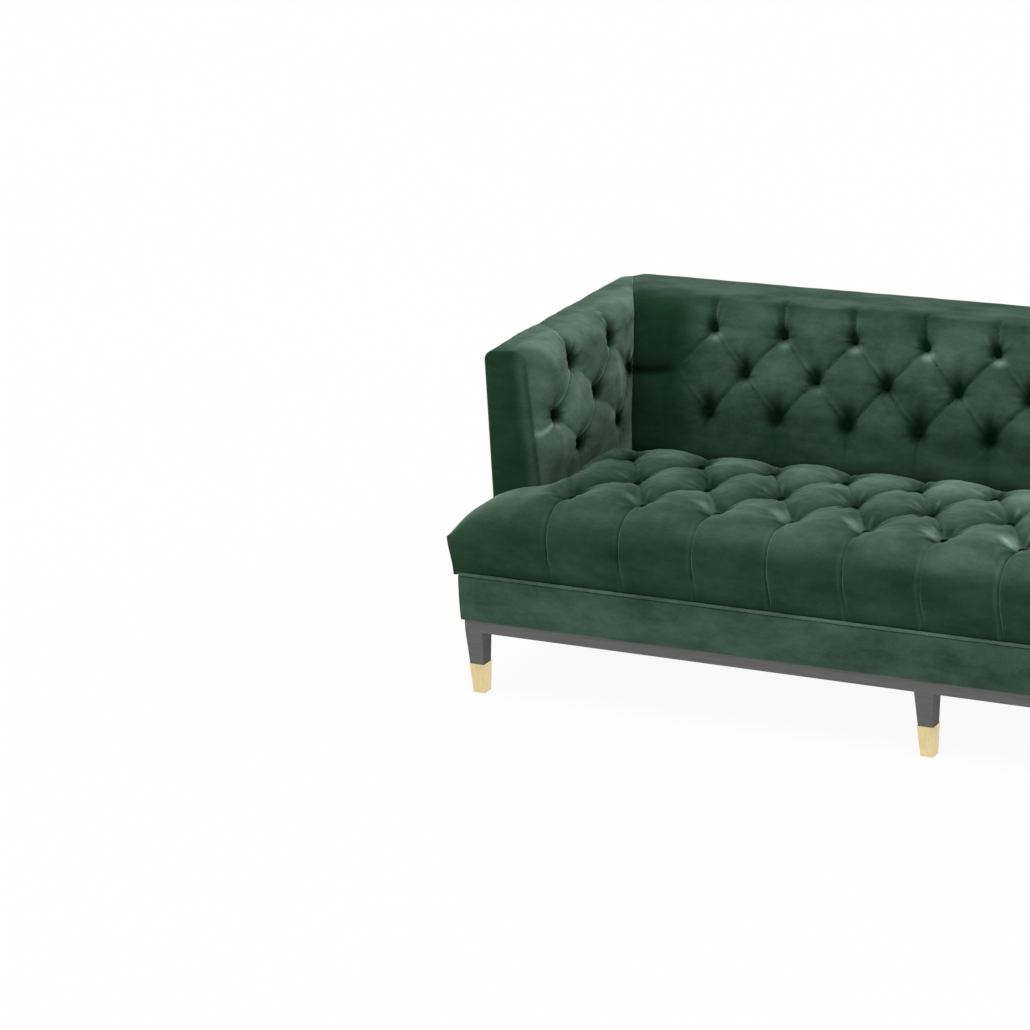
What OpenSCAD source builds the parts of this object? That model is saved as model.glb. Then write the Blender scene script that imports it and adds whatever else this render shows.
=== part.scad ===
// Three-seat sofa with deep diamond tufting: a bench seat that laps out in front of the arms,
// level arms and back, an upholstered base band, a lacquered plinth and capped tapered legs.
// The origin is on the floor under the middle; +X runs along the sofa and the front faces -Y.

/* [Overall] */
// Width over the outside arm panels
body_w = 2274; // [2000:2:2500]
// Depth from the crown of the seat front to the outside back
sofa_d = 916; // [860:2:1000]
// Height of the arm and back edges above the floor
top_h = 760; // [700:1:820]
// Extra height of the crowned middle of the arm and back tops
top_crown = 8; // [2:1:14]
// Radius of the rear corners seen from above
corner_r = 60; // [40:1:80]

/* [Legs] */
// Height of the legs, with the glides
leg_h = 152.5; // [110:0.5:190]
// Side of a leg where it meets the plinth
leg_top = 44; // [38:1:52]
// Side of a leg at its foot
leg_foot = 26.5; // [22:0.5:34]
// Height of the metal cap on each foot
cap_h = 71; // [40:1:90]
// Wall of the cap
cap_wall = 1.2; // [0.8:0.1:2]
// Height of the glide under the cap
glide_h = 2.5; // [2:0.5:4]
// Radius of the glide
glide_r = 9; // [6:0.5:11]
// Radius of the hanger bolt that holds a leg
bolt_r = 4; // [3:0.5:5]
// Depth of the bolt in the leg
bolt_in_leg = 36; // [25:1:50]

/* [Plinth and band] */
// Height of the plinth rails
plinth_h = 26.5; // [20:0.5:40]
// Width of the plinth rails seen from below
plinth_t = 52; // [50:1:70]
// Distance of the plinth behind the crown of the seat front
plinth_in = 14; // [8:1:24]
// Distance of the plinth inside the outside arm panels
plinth_side_in = 12; // [6:1:20]
// Height of the upholstered band between plinth and seat seam
band_h = 110; // [80:1:130]
// Thickness of the band
band_t = 18; // [12:1:24]
// How far the band stands out in front of the plinth
band_out = 4; // [0:0.5:8]
// Bulge of the band in its middle
band_crown = 3; // [1:0.5:5]
// Radius of the piping in the seat seam
welt_r = 3.5; // [2.5:0.5:4.5]

/* [Seat] */
// Height of the seat buttons above the floor
seat_h = 452; // [420:1:480]
// Distance between seat buttons in a row
seat_pitch = 180; // [160:1:200]
// Distance between seat button rows
seat_row = 144; // [125:1:160]
// Distance of the first button row behind the crown of the seat front
seat_first = 146; // [140:1:170]
// Height of the seat puffs over the buttons
seat_puff = 34; // [20:1:42]
// Radius of the rolled front edge
seat_roll = 70; // [50:1:76]
// Depth of the seat in front of the arms
ear_d = 178; // [140:1:220]
// Overhang of the seat ends past the outside arm panels
seat_over = 12; // [6:1:20]

/* [Arms and back] */
// Thickness of an arm at its buttons in the top row
arm_t = 129; // [120:1:150]
// Lean of the inside of an arm
arm_lean = 4; // [0:0.5:6]
// Distance between arm buttons in a row
arm_pitch = 194; // [180:1:205]
// Distance from the arm front to its first button
arm_first = 56; // [50:1:70]
// Thickness of the back at its buttons in the top row
back_t = 231; // [215:1:245]
// Lean of the inside of the back
back_lean = 17; // [12:0.5:20]
// Distance between back buttons in a row
back_pitch = 176; // [160:1:190]
// Height of the top button row above the floor
row_h = 705; // [640:1:712]
// Distance between the button rows of arms and back
row_step = 98; // [88:1:104]
// Height of the arm and back puffs over the buttons
wall_puff = 30; // [18:1:34]
// Radius of the inner top edge of arms and back
inner_roll = 36; // [28:1:40]
// Radius of the outer top edge of arms and back
outer_roll = 20; // [14:1:24]
// Thickness of the padded arm front
facing_t = 12; // [8:1:16]
// Thickness of the outside panels
panel_t = 18; // [12:1:20]

/* [Tufting] */
// Share of a puff's height that its folds cut down
fold_depth = 0.4; // [0.2:0.05:0.6]
// Radius of the dip round a button
pit_r = 32; // [24:1:44]
// Radius of a covered button
button_r = 11; // [8:0.5:12]
// Height of a button's dome
button_h = 5; // [3:0.5:7]

/* [Frame] */
// Thickness of the hardwood seat rails
rail_t = 30; // [22:1:36]
// Height of the seat rails
rail_h = 83; // [60:1:90]
// Thickness of the plywood back ribs
rib_t = 25; // [18:1:30]
// Distance of the inner ribs and cross rails from the middle
rib_inner = 360; // [355:1:370]
// Distance of the outer ribs and cross rails inside the arm posts
rib_side = 88; // [80:1:95]
// Radius of the lower hole in a back rib
rib_hole_low = 50; // [40:1:55]
// Radius of the upper hole in a back rib
rib_hole_high = 38; // [30:1:44]
// Width of an arm post seen from the front
post_w = 37; // [30:1:40]
// Thickness of an arm post
post_t = 28; // [22:1:34]
// Thickness of the arm top rails and of the back top rail
top_rail_t = 22; // [16:1:26]
// Width of the seat straps
strap_w = 70; // [50:1:76]
// Thickness of the straps
strap_t = 2; // [1.5:0.1:2.5]
// Distance between seat straps
strap_step = 120; // [118:1:122]

/* [Hidden] */
PLACES = ["front_left", "front_middle", "front_right", "rear_left", "rear_middle", "rear_right"];

// Clearance between a soft piece and its neighbour
gap = 0.3;
// Clearance round the bolts and inside the caps
fit = 0.15;
$fn = 64;

velvet = [0.13, 0.26, 0.2];
velvet_dark = [0.1, 0.2, 0.155];
lacquer = [0.33, 0.33, 0.34];
brass = [0.82, 0.7, 0.42];
hardwood = [0.72, 0.56, 0.38];
plywood = [0.8, 0.68, 0.5];
foam = [0.93, 0.88, 0.72];
webbing = [0.16, 0.16, 0.17];
steel = [0.6, 0.61, 0.63];
nylon = [0.12, 0.12, 0.12];

// Planes that the pieces share; post_x is where the arm posts begin
half_w = body_w / 2;
crown_y = -sofa_d / 2;
rear_y = sofa_d / 2;
front_y = crown_y + plinth_in;
arm_front_y = front_y + ear_d;
plinth_x = half_w - plinth_side_in;
plinth_rear = rear_y - plinth_side_in;
plinth_z = leg_h;
frame_z = leg_h + plinth_h;
seam_z = frame_z + band_h;
band_y = front_y - band_out;
band_x = plinth_x + 2 * band_out;
rail_front = band_y + band_t + gap;
rail_side = min(band_x - band_t, half_w - panel_t) - gap;
rail_rear = rear_y - panel_t - gap;
rail_z = frame_z + rail_h;
post_x = rail_side - rail_t - post_w;
rib_outer = post_x - rib_side;

function mix(a, b, f) = a + (b - a) * f;
function smooth(f) = let(c = max(0, min(1, f))) c * c * (3 - 2 * c);

// Diamond tufting. u counts pitches along a row from a button of row 0 and r counts rows.
// Buttons lie at whole u in even rows and half way between them in odd rows; past the first
// and last rows the folds run straight on. The value is 0 at a button and 1 at a crown.
tuft_rows = 3;
function to_row(u, r) = u - r / 2 - round(u - r / 2);
function tuft(u, r, pitch, row) =
    let(q = max(0, min(tuft_rows - 1, r)))
    let(fold = sqrt(abs(sin(180 * (u + q / 2)) * sin(180 * (u - q / 2)))))
    let(d = min([for (k = [0 : tuft_rows - 1]) norm([to_row(u, k) * pitch, (r - k) * row])]))
    (1 - fold_depth) * (1 - exp(-pow(d / pit_r, 2))) + fold_depth * fold;
// Level of the plain padding past the last buttons
plain = 0.75;

// Closed skin through rings of points, all with as many points, with fans from point `hub`
// of the first and the last ring
module lofted(rings, hub) {
    n = len(rings[0]);
    m = len(rings);
    points = [for (ring = rings) each ring];
    sides = [for (i = [0 : m - 2], j = [0 : n - 1])
        let(a = i * n + j, b = i * n + (j + 1) % n, c = a + n, d = b + n)
        each (i + j) % 2 == 0 ? [[a, b, d], [a, d, c]] : [[a, b, c], [b, d, c]]];
    first = [for (k = [1 : n - 2]) [hub, (hub + k + 1) % n, (hub + k) % n]];
    last = [for (k = [1 : n - 2])
        let(o = (m - 1) * n) [o + hub, o + (hub + k) % n, o + (hub + k + 1) % n]];
    polyhedron(points, concat(sides, first, last));
}

// Walls: an arm or the back, seen along its run. d is the distance out from the middle of the
// sofa, and s is the distance down the padding from the top button row.
arm = [half_w - arm_t, arm_lean, half_w];
back = [rear_y - back_t, back_lean, rear_y];
wall_foot = (tuft_rows - 1 + 2 / 3) * row_step;
wall_bottom = row_h - 3 * row_step - 11;
rim_z = top_h - outer_roll - 9;
slab_t = 28;
function roll_z(wall) = top_h - inner_roll * (1 - sin(wall[1]));
function inside(wall, z) = let(foot = row_h - wall_foot * cos(wall[1]))
    wall[0] + (max(foot, min(z, roll_z(wall))) - row_h) * tan(wall[1]);
function roll_s(wall) = (row_h - roll_z(wall)) / cos(wall[1]);
// Plane behind the padding, `off` further out than its back
function behind(wall, z, off = 0) = slab_t + off
    + mix(inside(wall, 0), inside(wall, rim_z), (z - wall_bottom) / (rim_z - wall_bottom));
// Points of the side view from the foot to the outer rim: [d, z, direction, s]
function wall_view(wall) =
    let(lean = wall[1], s0 = roll_s(wall), turn = (90 - lean) / 2)
    let(cd = inside(wall, top_h) + inner_roll * cos(lean), cz = top_h - inner_roll)
    let(arc = inner_roll * turn * PI / 180, od = wall[2] - outer_roll, oz = top_h - outer_roll)
    let(s2 = s0 - 2 * arc - (od - cd), bow = outer_roll * PI / 4)
    concat([[inside(wall, 0), wall_bottom, 180, wall_foot + 60]],
    [for (k = [3 * tuft_rows - 1 : -1 : 0])
        let(s = k / 3 * row_step)
        [wall[0] - s * sin(lean), row_h - s * cos(lean), 180 - lean, s]],
    [for (k = [0 : 2])
        let(a = 180 - lean - k * turn)
        [cd + inner_roll * cos(a), cz + inner_roll * sin(a), a, s0 - k * arc]],
    [for (k = [0 : 2])
        let(a = 90 - 45 * k)
        [od + outer_roll * cos(a), oz + outer_roll * sin(a), a, s2 - k * bow]],
    [[wall[2], rim_z, 0, s2 - 2 * bow - 1]]);
function wall_rise(wall, a, s) =
    a == 180 ? 0
    : a < 80 ? top_crown * a / 90 * 0.5
    : mix(wall_puff * min(1, 0.3 + 0.7 * smooth((wall_foot - s) / row_step)), top_crown,
        smooth(-s / (2 * inner_roll - roll_s(wall))));
// Carries a point of the side view towards the mitre with the next wall, which it reaches
// as f goes from 0 to 1, and round the rear corner on the way
corner_in = corner_r * (1 - sqrt(0.5));
mitre_gap = 2;
function mitred(wall, next, t, f, d, z) =
    let(w = (d - inside(wall, z)) / (wall[2] - inside(wall, z)))
    let(end = mix(inside(next, z), next[2] - corner_in, w) - mitre_gap)
    let(past = max(0, mix(t, next[2] - corner_in, f) - next[2] + corner_r))
    let(bow = corner_r - sqrt(corner_r * corner_r - past * past))
    [mix(t, end, f), d - bow * max(0, w), z];
// Next to its front edge the padding is drawn in; the share of its full shape there
edge_roll = 34;
edge_tuck = 0.85 * slab_t;
function edge_share(t, front) = t < front + edge_roll
    ? sqrt(1 - pow(1 - (t - front) / edge_roll, 2)) : 1;
// Share of the plain padding that is left in the crease between two walls
crease = 0.2;
// One ring of a wall at the station [t, f]. Row 0 has a button at `first`, the outermost
// buttons are at `ends`, and `over` is 1 where the folds run on over the top.
function wall_ring(wall, next, at, first, pitch, ends, over, front) =
    concat([for (v = wall_view(wall))
        let(here = mitred(wall, next, at[0], at[1], v[0], v[1])[0])
        let(lead = over * 90 * smooth((roll_s(wall) - v[3]) / 150))
        let(t = tuft((here - first - lead) / pitch, v[3] / row_step, pitch, row_step))
        let(fade = max(smooth(max(ends[0] - here, here - ends[1]) / 110),
            (1 - over) * smooth((-v[3] - 0.3 * row_step) / (0.5 * row_step))))
        let(ease = v[3] > 0 ? mix(1, crease, at[1]) : 1)
        let(p = mix(-edge_tuck * (v[2] > 90 ? 1 : 0.2),
            wall_rise(wall, v[2], v[3]) * mix(t, plain, fade) * ease, edge_share(at[0], front)))
        mitred(wall, next, at[0], at[1], v[0] + p * cos(v[2]), v[1] + p * sin(v[2]))],
    [for (z = [rim_z, wall_bottom])
        mitred(wall, next, at[0], at[1], behind(wall, z), z)]);
wall_hub = 3 * tuft_rows + 8;
// Stations past `t`, the first where row 1 is at `stop`, then round the rear corner to the mitre
function corner_stations(t, stop, next) =
    let(arc = (next[2] - corner_r - t) / (next[2] - corner_in - t))
    let(near = (stop - t) / (inside(next, row_h - row_step) - mitre_gap - t))
    [for (f = [near, arc, (1 + arc) / 2, 1]) [t, f]];

back_cols = floor((arm[0] - 120) / back_pitch);
back_last = (back_cols - 0.5) * back_pitch;
back_edge = 6 * back_cols - 2;
module back_pad() {
    cols = [-back_last, back_last];
    function ring(at) = wall_ring(back, arm, at, back_pitch / 2, back_pitch, cols, 0, -body_w);
    edge = back_edge * back_pitch / 6;
    ends = [for (at = corner_stations(edge, edge + 0.5 * (arm[0] - edge), arm)) ring(at)];
    color(velvet) lofted(concat(
        [for (k = [3 : -1 : 0]) [for (p = ends[k]) [-p[0], p[1], p[2]]]],
        [for (i = [-back_edge : back_edge]) ring([i * back_pitch / 6, 0])], ends), wall_hub);
}

arm_start = arm_front_y + facing_t + gap;
arm_cols = floor((inside(back, row_h) - arm_front_y - arm_first) / arm_pitch);
arm_y = arm_front_y + arm_first + arm_pitch / 2;
arm_last = arm_y + (arm_cols - 0.5) * arm_pitch;
arm_edge = 6 * arm_cols - 5;
module arm_pad() {
    stations = concat([for (t = [0, 6, 20]) [arm_start + t, 0]],
        [for (i = [-3 : arm_edge]) [arm_y + i * arm_pitch / 6, 0]],
        corner_stations(arm_y + arm_edge * arm_pitch / 6, arm_last, back));
    cols = [arm_y - arm_pitch / 2, arm_last];
    rings = [for (at = stations)
        wall_ring(arm, back, at, arm_y, arm_pitch, cols, 1, arm_start)];
    color(velvet) lofted([for (i = [len(rings) - 1 : -1 : 0])
        [for (p = rings[i]) [p[1], p[0], p[2]]]], wall_hub);
}
module left() { mirror([1, 0, 0]) children(); }
module left_arm_pad() { left() arm_pad(); }
module right_arm_pad() { arm_pad(); }

// Seat: its side view runs from the seam up the front, over the roll and back to the crevice.
// s is the distance behind the first button row.
seat_y = crown_y + seat_first;
face_rise = 0.7 * seat_puff;
face_y = crown_y + face_rise;
seat_flat = seat_y - face_y - seat_roll;
roll_arc = PI / 2 * seat_roll;
seat_bottom = seam_z + welt_r + gap;
face_h = seat_h - seat_roll - seat_bottom;
seat_start = -seat_flat - roll_arc - face_h;
seat_back_y = inside(back, 0) - 0.4 * wall_puff;
seat_span = (tuft_rows - 1) * seat_row;
seat_tail = seat_back_y - seat_y - seat_span;
seat_drop = 30;
seat_steps = concat([seat_start, seat_start + face_h / 2],
    [for (k = [3 : -1 : 0]) -seat_flat - roll_arc * k / 3],
    [for (k = [0 : 3 * (tuft_rows - 1)]) k * seat_row / 3],
    [for (f = [0.45, 1]) seat_span + f * seat_tail]);
// Point and direction of the surface at s: [y, z, direction]
function seat_at(s) =
    s >= -seat_flat
        ? [seat_y + s, seat_h - seat_drop * smooth((s - seat_span) / seat_tail), 90]
    : s > -seat_flat - roll_arc - 0.01
        ? let(a = 90 + (-s - seat_flat) / seat_roll * 180 / PI)
          [face_y + seat_roll * (1 + cos(a)), seat_h - seat_roll * (1 - sin(a)), a]
        : [face_y, seat_bottom + s - seat_start, 180];
function seat_rise(s) = mix(face_rise, seat_puff, smooth((s + seat_flat + roll_arc) / roll_arc))
    * (0.15 + 0.85 * smooth((s - seat_start) / face_h))
    * (1 - 0.5 * smooth((s - seat_span - 30) / seat_tail));
seat_cols = floor((arm[0] - 80) / seat_pitch);
seat_last = seat_cols * seat_pitch;
seat_end = half_w + seat_over;
// Level of the plain padding past the last buttons, on the front and on top
function seat_plain(s) = mix(1, 0.5, smooth((s + seat_flat + roll_arc) / roll_arc));
// The seat ends in a boxed panel, whose square top edge runs straight to the front
end_z = seat_h - seat_roll;
function end_y(y, s) = s > -seat_flat - roll_arc && s < -seat_flat
    ? mix(crown_y, face_y + seat_roll, (s + seat_flat + roll_arc) / roll_arc) : y;
end_tuck = 5;
end_steps = [0.36, 0.68, 0.9, 1];
seat_xs = concat([for (k = [3 : -1 : 0]) -mix(seat_last, seat_end, end_steps[k])],
    [for (i = [-6 * seat_cols : 6 * seat_cols]) i * seat_pitch / 6],
    [for (f = end_steps) mix(seat_last, seat_end, f)]);
function seat_point(x, s) =
    let(base = seat_at(s), a = base[2], off = abs(x))
    let(p = mix(tuft(x / seat_pitch, s / seat_row, seat_pitch, seat_row), seat_plain(s),
        smooth((off - seat_last) / 110)) * seat_rise(s))
    let(y = base[0] + p * cos(a), z = base[1] + p * sin(a))
    let(q = max(0, (off - seat_last) / (seat_end - seat_last)), g = 1 - sqrt(1 - q * q))
    let(tuck = end_tuck * q * (1 - smooth((min(z, end_z) - seat_bottom) / face_h)))
    [x - sign(x) * tuck, mix(y, end_y(y, s), g), mix(z, min(z, end_z), g)];
// Half width of the seat between the arms
seat_in = inside(arm, 0) - 0.4 * wall_puff;
module seat_pad() {
    color(velvet) difference() {
        lofted([for (x = seat_xs)
            let(start = seat_point(x, seat_start))
            concat([for (s = seat_steps) seat_point(x, s)], [[start[0], seat_back_y, start[2]]])],
            len(seat_steps));
        for (side = [-1, 1]) translate([side * (seat_in + sofa_d / 2), arm_front_y - gap
            + sofa_d / 2, seat_h]) cube(sofa_d, center = true);
    }
}

// Padding under the seat, on the straps
foam_z = rail_z + 2 * strap_t + 3 * gap;
module seat_foam() {
    ear_x = rail_side;
    ear_y = arm_front_y - gap;
    color(foam) upright(foam_z, seat_bottom - gap)
        polygon([[-ear_x, rail_front], [ear_x, rail_front], [ear_x, ear_y], [seat_in, ear_y],
            [seat_in, seat_back_y], [-seat_in, seat_back_y], [-seat_in, ear_y], [-ear_x, ear_y]]);
}
// Piping along the seat seam
module seat_welt() {
    x = band_x - welt_r + 1;
    y = band_y + welt_r - 1;
    bend = 12;
    color(velvet_dark) translate([0, 0, seam_z]) {
        translate([bend - x, y, 0]) rotate([0, 90, 0]) cylinder(r = welt_r, h = 2 * (x - bend));
        for (side = [0, 1]) mirror([side, 0, 0]) {
            translate([x, y + bend, 0]) rotate([-90, 0, 0])
                cylinder(r = welt_r, h = arm_front_y - gap - y - bend);
            translate([x - bend, y + bend, 0]) rotate(-90) rotate_extrude(angle = 90)
                translate([bend, 0]) circle(r = welt_r);
        }
    }
}

// Covered button whose shank stands in the dip; its dome clears the padding round it
button_lift = 0.64 * button_r;
shank_r = 2.5;
shank_z = 2;
module button() {
    dome_r = (button_r * button_r + button_h * button_h) / (2 * button_h);
    translate([0, 0, shank_z]) cylinder(r = shank_r, h = button_lift - shank_z + 0.5);
    translate([0, 0, button_lift]) intersection() {
        translate([0, 0, button_h - dome_r]) sphere(r = dome_r);
        cylinder(r = button_r, h = button_h);
    }
}
module seat_buttons() {
    color(velvet_dark) for (k = [0 : tuft_rows - 1])
        for (i = [-seat_cols : seat_cols - k % 2])
            translate([(i + k % 2 / 2) * seat_pitch, seat_y + k * seat_row, seat_h]) button();
}
module wall_button(wall, k) {
    s = k * row_step;
    translate([wall[0] - s * sin(wall[1]), 0, row_h - s * cos(wall[1])])
        rotate([0, wall[1] - 90, 0]) button();
}
module back_buttons() {
    color(velvet_dark) for (k = [0 : tuft_rows - 1])
        for (i = [-back_cols + k % 2 : back_cols - 1])
            translate([(i + (1 - k % 2) / 2) * back_pitch, 0, 0])
                mirror([1, -1, 0]) wall_button(back, k);
}
module arm_buttons() {
    color(velvet_dark) for (k = [0 : tuft_rows - 1])
        for (i = [0 : arm_cols - 1 + k % 2])
            translate([0, arm_y + (i - k % 2 / 2) * arm_pitch, 0]) wall_button(arm, k);
}
module left_arm_buttons() { left() arm_buttons(); }
module right_arm_buttons() { arm_buttons(); }

// Padded front of an arm, with rounded top corners; a strip of it runs down past the rails
module right_arm_facing() {
    z1 = top_h + 1;
    big = inner_roll - 10;
    foot_x = inside(arm, 0) + edge_tuck;
    foot_z = row_h - wall_foot * cos(arm[1]);
    x0 = inside(arm, z1 - big) + edge_tuck;
    x1 = rail_side + gap;
    color(velvet) translate([0, arm_front_y + facing_t, 0]) rotate([90, 0, 0])
        linear_extrude(facing_t) {
            polygon([[foot_x, foam_z], [half_w, foam_z], [half_w, z1 - outer_roll],
                [x0, z1 - big], [foot_x, foot_z]]);
            translate([x1, frame_z + gap]) square([half_w - x1, z1 - outer_roll - frame_z - gap]);
            translate([x0 + big, foam_z]) square([half_w - outer_roll - x0 - big, z1 - foam_z]);
            translate([x0 + big, z1 - big]) circle(r = big);
            translate([half_w - outer_roll, z1 - outer_roll]) circle(r = outer_roll);
        }
}
module left_arm_facing() { left() right_arm_facing(); }

// Outside of an arm, bent round the rear corner
panel_top = rim_z - gap;
module upright(z0, z1) { translate([0, 0, z0]) linear_extrude(z1 - z0) children(); }
module right_outside_panel() {
    cx = half_w - corner_r;
    cy = rear_y - corner_r;
    color(velvet) upright(frame_z + gap, panel_top) {
        translate([half_w - panel_t, arm_start]) square([panel_t, cy - arm_start]);
        translate([cx, cy]) intersection() {
            difference() {
                circle(r = corner_r);
                circle(r = corner_r - panel_t);
            }
            square(corner_r);
        }
    }
}
module left_outside_panel() { left() right_outside_panel(); }
module outside_back_panel() {
    half = half_w - corner_r - gap;
    color(velvet) translate([-half, rear_y - panel_t, frame_z + gap])
        cube([2 * half, panel_t, panel_top - frame_z - gap]);
}

// Upholstered band under the seat seam, slightly bulged
module band(length) {
    h = seam_z - welt_r - frame_z - 2 * gap;
    bulge_r = (h * h / 4 + band_crown * band_crown) / (2 * band_crown);
    translate([0, 0, frame_z + gap + h / 2]) rotate([90, 0, 90])
        linear_extrude(length, center = true) intersection() {
            translate([0, -h / 2]) square([band_t, h]);
            translate([bulge_r, 0]) circle(r = bulge_r, $fn = 360);
        }
}
module front_band() { color(velvet) translate([0, band_y, 0]) band(2 * band_x); }
module right_band() {
    y0 = band_y + band_t + gap;
    y1 = arm_front_y - gap;
    color(velvet) translate([band_x, (y0 + y1) / 2, 0]) rotate(90) band(y1 - y0);
}
module left_band() { left() right_band(); }

// Cloth under the seat frame, inside the plinth
module dust_cover() {
    x = plinth_x - plinth_t - gap;
    y0 = front_y + plinth_t + gap;
    y1 = plinth_rear - plinth_t - gap;
    cloth_t = 1.3;
    color(webbing) translate([-x, y0, frame_z - gap - cloth_t]) cube([2 * x, y1 - y0, cloth_t]);
}

// Elastic straps on both sides of the middle, laid on the front and back rails
straps = floor((rib_outer - strap_w) / strap_step + 0.5);
module seat_straps() {
    color(webbing) for (i = [0 : straps - 1], side = [-1, 1])
        translate([side * (i + 0.5) * strap_step - strap_w / 2, rail_front, rail_z])
            cube([strap_w, rail_rear - rail_front, strap_t]);
}
// Cross straps, woven over and under the seat straps
cross_step = 180;
module cross_straps() {
    lift = strap_t + gap;
    reach = strap_w / 2 + 3;
    way = [for (i = [-straps : straps - 1])
        let(x = (i + 0.5) * strap_step, z = (i + straps) % 2 == 0 ? lift : -lift)
        each [[x - reach, z], [x + reach, z]]];
    hold = rail_side - rail_t;
    line = concat([[-rail_side, 0], [-hold, 0]], way, [[hold, 0], [rail_side, 0]]);
    under = [for (i = [len(line) - 1 : -1 : 0]) line[i] + [0, strap_t]];
    color(webbing) for (k = [0 : tuft_rows - 1])
        translate([0, arm_front_y - strap_w / 2 - 4 + k * cross_step, rail_z])
            rotate([90, 0, 0]) linear_extrude(strap_w, center = true)
                polygon(concat(line, under));
}

// Layers behind the back padding: foam, straps, ribs
back_foam_t = 40;
back_slope = atan((behind(back, rim_z) - behind(back, wall_bottom)) / (rim_z - wall_bottom));
strap_d = back_foam_t + 2 * gap;
rib_d = strap_d + strap_t / cos(back_slope) + gap;
side_in = arm[0] - 22;
module profile_xz(x0, x1) {
    translate([x0, 0, 0]) rotate([90, 0, 90]) linear_extrude(x1 - x0) children();
}
function back_line(z, off) = [behind(back, z, off), z];
module back_foam() {
    far = gap + back_foam_t;
    top = rim_z - gap;
    color(foam) profile_xz(-side_in, side_in) polygon([back_line(wall_bottom, gap),
        back_line(top, gap), back_line(top, far), back_line(wall_bottom, far)]);
}
module back_straps() {
    w = 0.8 * strap_w;
    color(webbing) for (k = [0 : tuft_rows - 1]) {
        z = rib_top - w - k * row_step;
        translate([-side_in, behind(back, z, strap_d), z]) rotate([-back_slope, 0, 0])
            cube([2 * side_in, strap_t, w]);
    }
}
cross_z = rail_z - 22;
rib_top = rim_z - gap - top_rail_t;
rib_xs = [-rib_outer, -rib_inner, rib_inner, rib_outer];
module back_ribs() {
    rear = rail_rear;
    seat_rail_y = rail_rear - rail_t;
    foot = back_line(wall_bottom, rib_d);
    outline = [[foot[0], cross_z], foot, back_line(rib_top, rib_d), [rear, rib_top],
        [rear, rail_z], [seat_rail_y, rail_z], [seat_rail_y, cross_z]];
    low = (foot[0] + rear) / 2;
    color(plywood) for (x = rib_xs) profile_xz(x - rib_t / 2, x + rib_t / 2) difference() {
        polygon(outline);
        translate([low, mix(rail_z, rib_top, 0.24)]) circle(r = rib_hole_low);
        translate([mix(low, rear, 0.3), mix(rail_z, rib_top, 0.58)]) circle(r = rib_hole_high);
    }
}
module back_top_rail() {
    y0 = behind(back, rim_z, rib_d);
    x = rail_side - rail_t - post_w - gap;
    color(hardwood) translate([-x, y0, rib_top]) cube([2 * x, rail_rear - y0, top_rail_t]);
}
tack_h = 26;
module back_tack_rail() {
    y0 = inside(back, 0);
    x = inside(arm, 0);
    color(hardwood) translate([-x, y0, wall_bottom - gap - tack_h])
        cube([2 * x, behind(back, wall_bottom, rib_d) - y0, tack_h]);
}

// Arm frame
post_rear = rear_y - corner_r + 8;
module both() { for (side = [0, 1]) mirror([side, 0, 0]) children(); }
module arm_foam() {
    far = post_x - gap;
    color(foam) both() translate([0, arm_start, 0]) rotate([90, 0, 0]) mirror([0, 0, 1])
        linear_extrude(inside(back, 0) + 45 - arm_start)
            polygon([[behind(arm, wall_bottom, gap), wall_bottom],
                [behind(arm, rib_top, gap), rib_top], [far, rib_top], [far, wall_bottom]]);
}
module post(y) {
    color(hardwood) both() translate([post_x, y, frame_z]) cube([post_w, post_t, rib_top - frame_z]);
}
module arm_front_posts() { post(arm_start); }
module arm_rear_posts() { post(post_rear - post_t); }
module arm_top_rails() {
    x1 = half_w - panel_t - gap;
    y1 = rear_y - corner_r;
    color(hardwood) both() translate([post_x, arm_start, rib_top])
        cube([x1 - post_x, y1 - arm_start, top_rail_t]);
}
module arm_tack_rails() {
    y0 = arm_start + post_t;
    y1 = post_rear - post_t;
    x0 = inside(arm, 0) + gap;
    color(hardwood) both() translate([x0, y0, wall_bottom - gap - tack_h])
        cube([post_x + post_w - x0, y1 - y0, tack_h]);
}

// Seat frame
side_end = rail_rear - rail_t;
module front_seat_rail() {
    color(hardwood) translate([-rail_side, rail_front, frame_z])
        cube([2 * rail_side, rail_t, rail_h]);
}
module back_seat_rail() {
    x = half_w - corner_r;
    color(hardwood) translate([-x, side_end, frame_z]) cube([2 * x, rail_t, rail_h]);
}
module side_seat_rails() {
    y0 = rail_front + rail_t;
    color(hardwood) both() translate([rail_side - rail_t, y0, frame_z])
        cube([rail_t, side_end - y0, rail_h]);
}
module cross_rails() {
    y0 = rail_front + rail_t;
    color(hardwood) for (x = rib_xs) translate([x - rail_t / 2, y0, frame_z])
        cube([rail_t, side_end - y0, cross_z - frame_z]);
}
module corner_blocks() {
    leg = 62;
    x = rail_side - rail_t;
    color(hardwood) upright(frame_z + 4, rail_z - 6) both()
        translate([x, rail_front + rail_t]) polygon([[0, 0], [-leg, 0], [0, leg]]);
}

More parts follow.
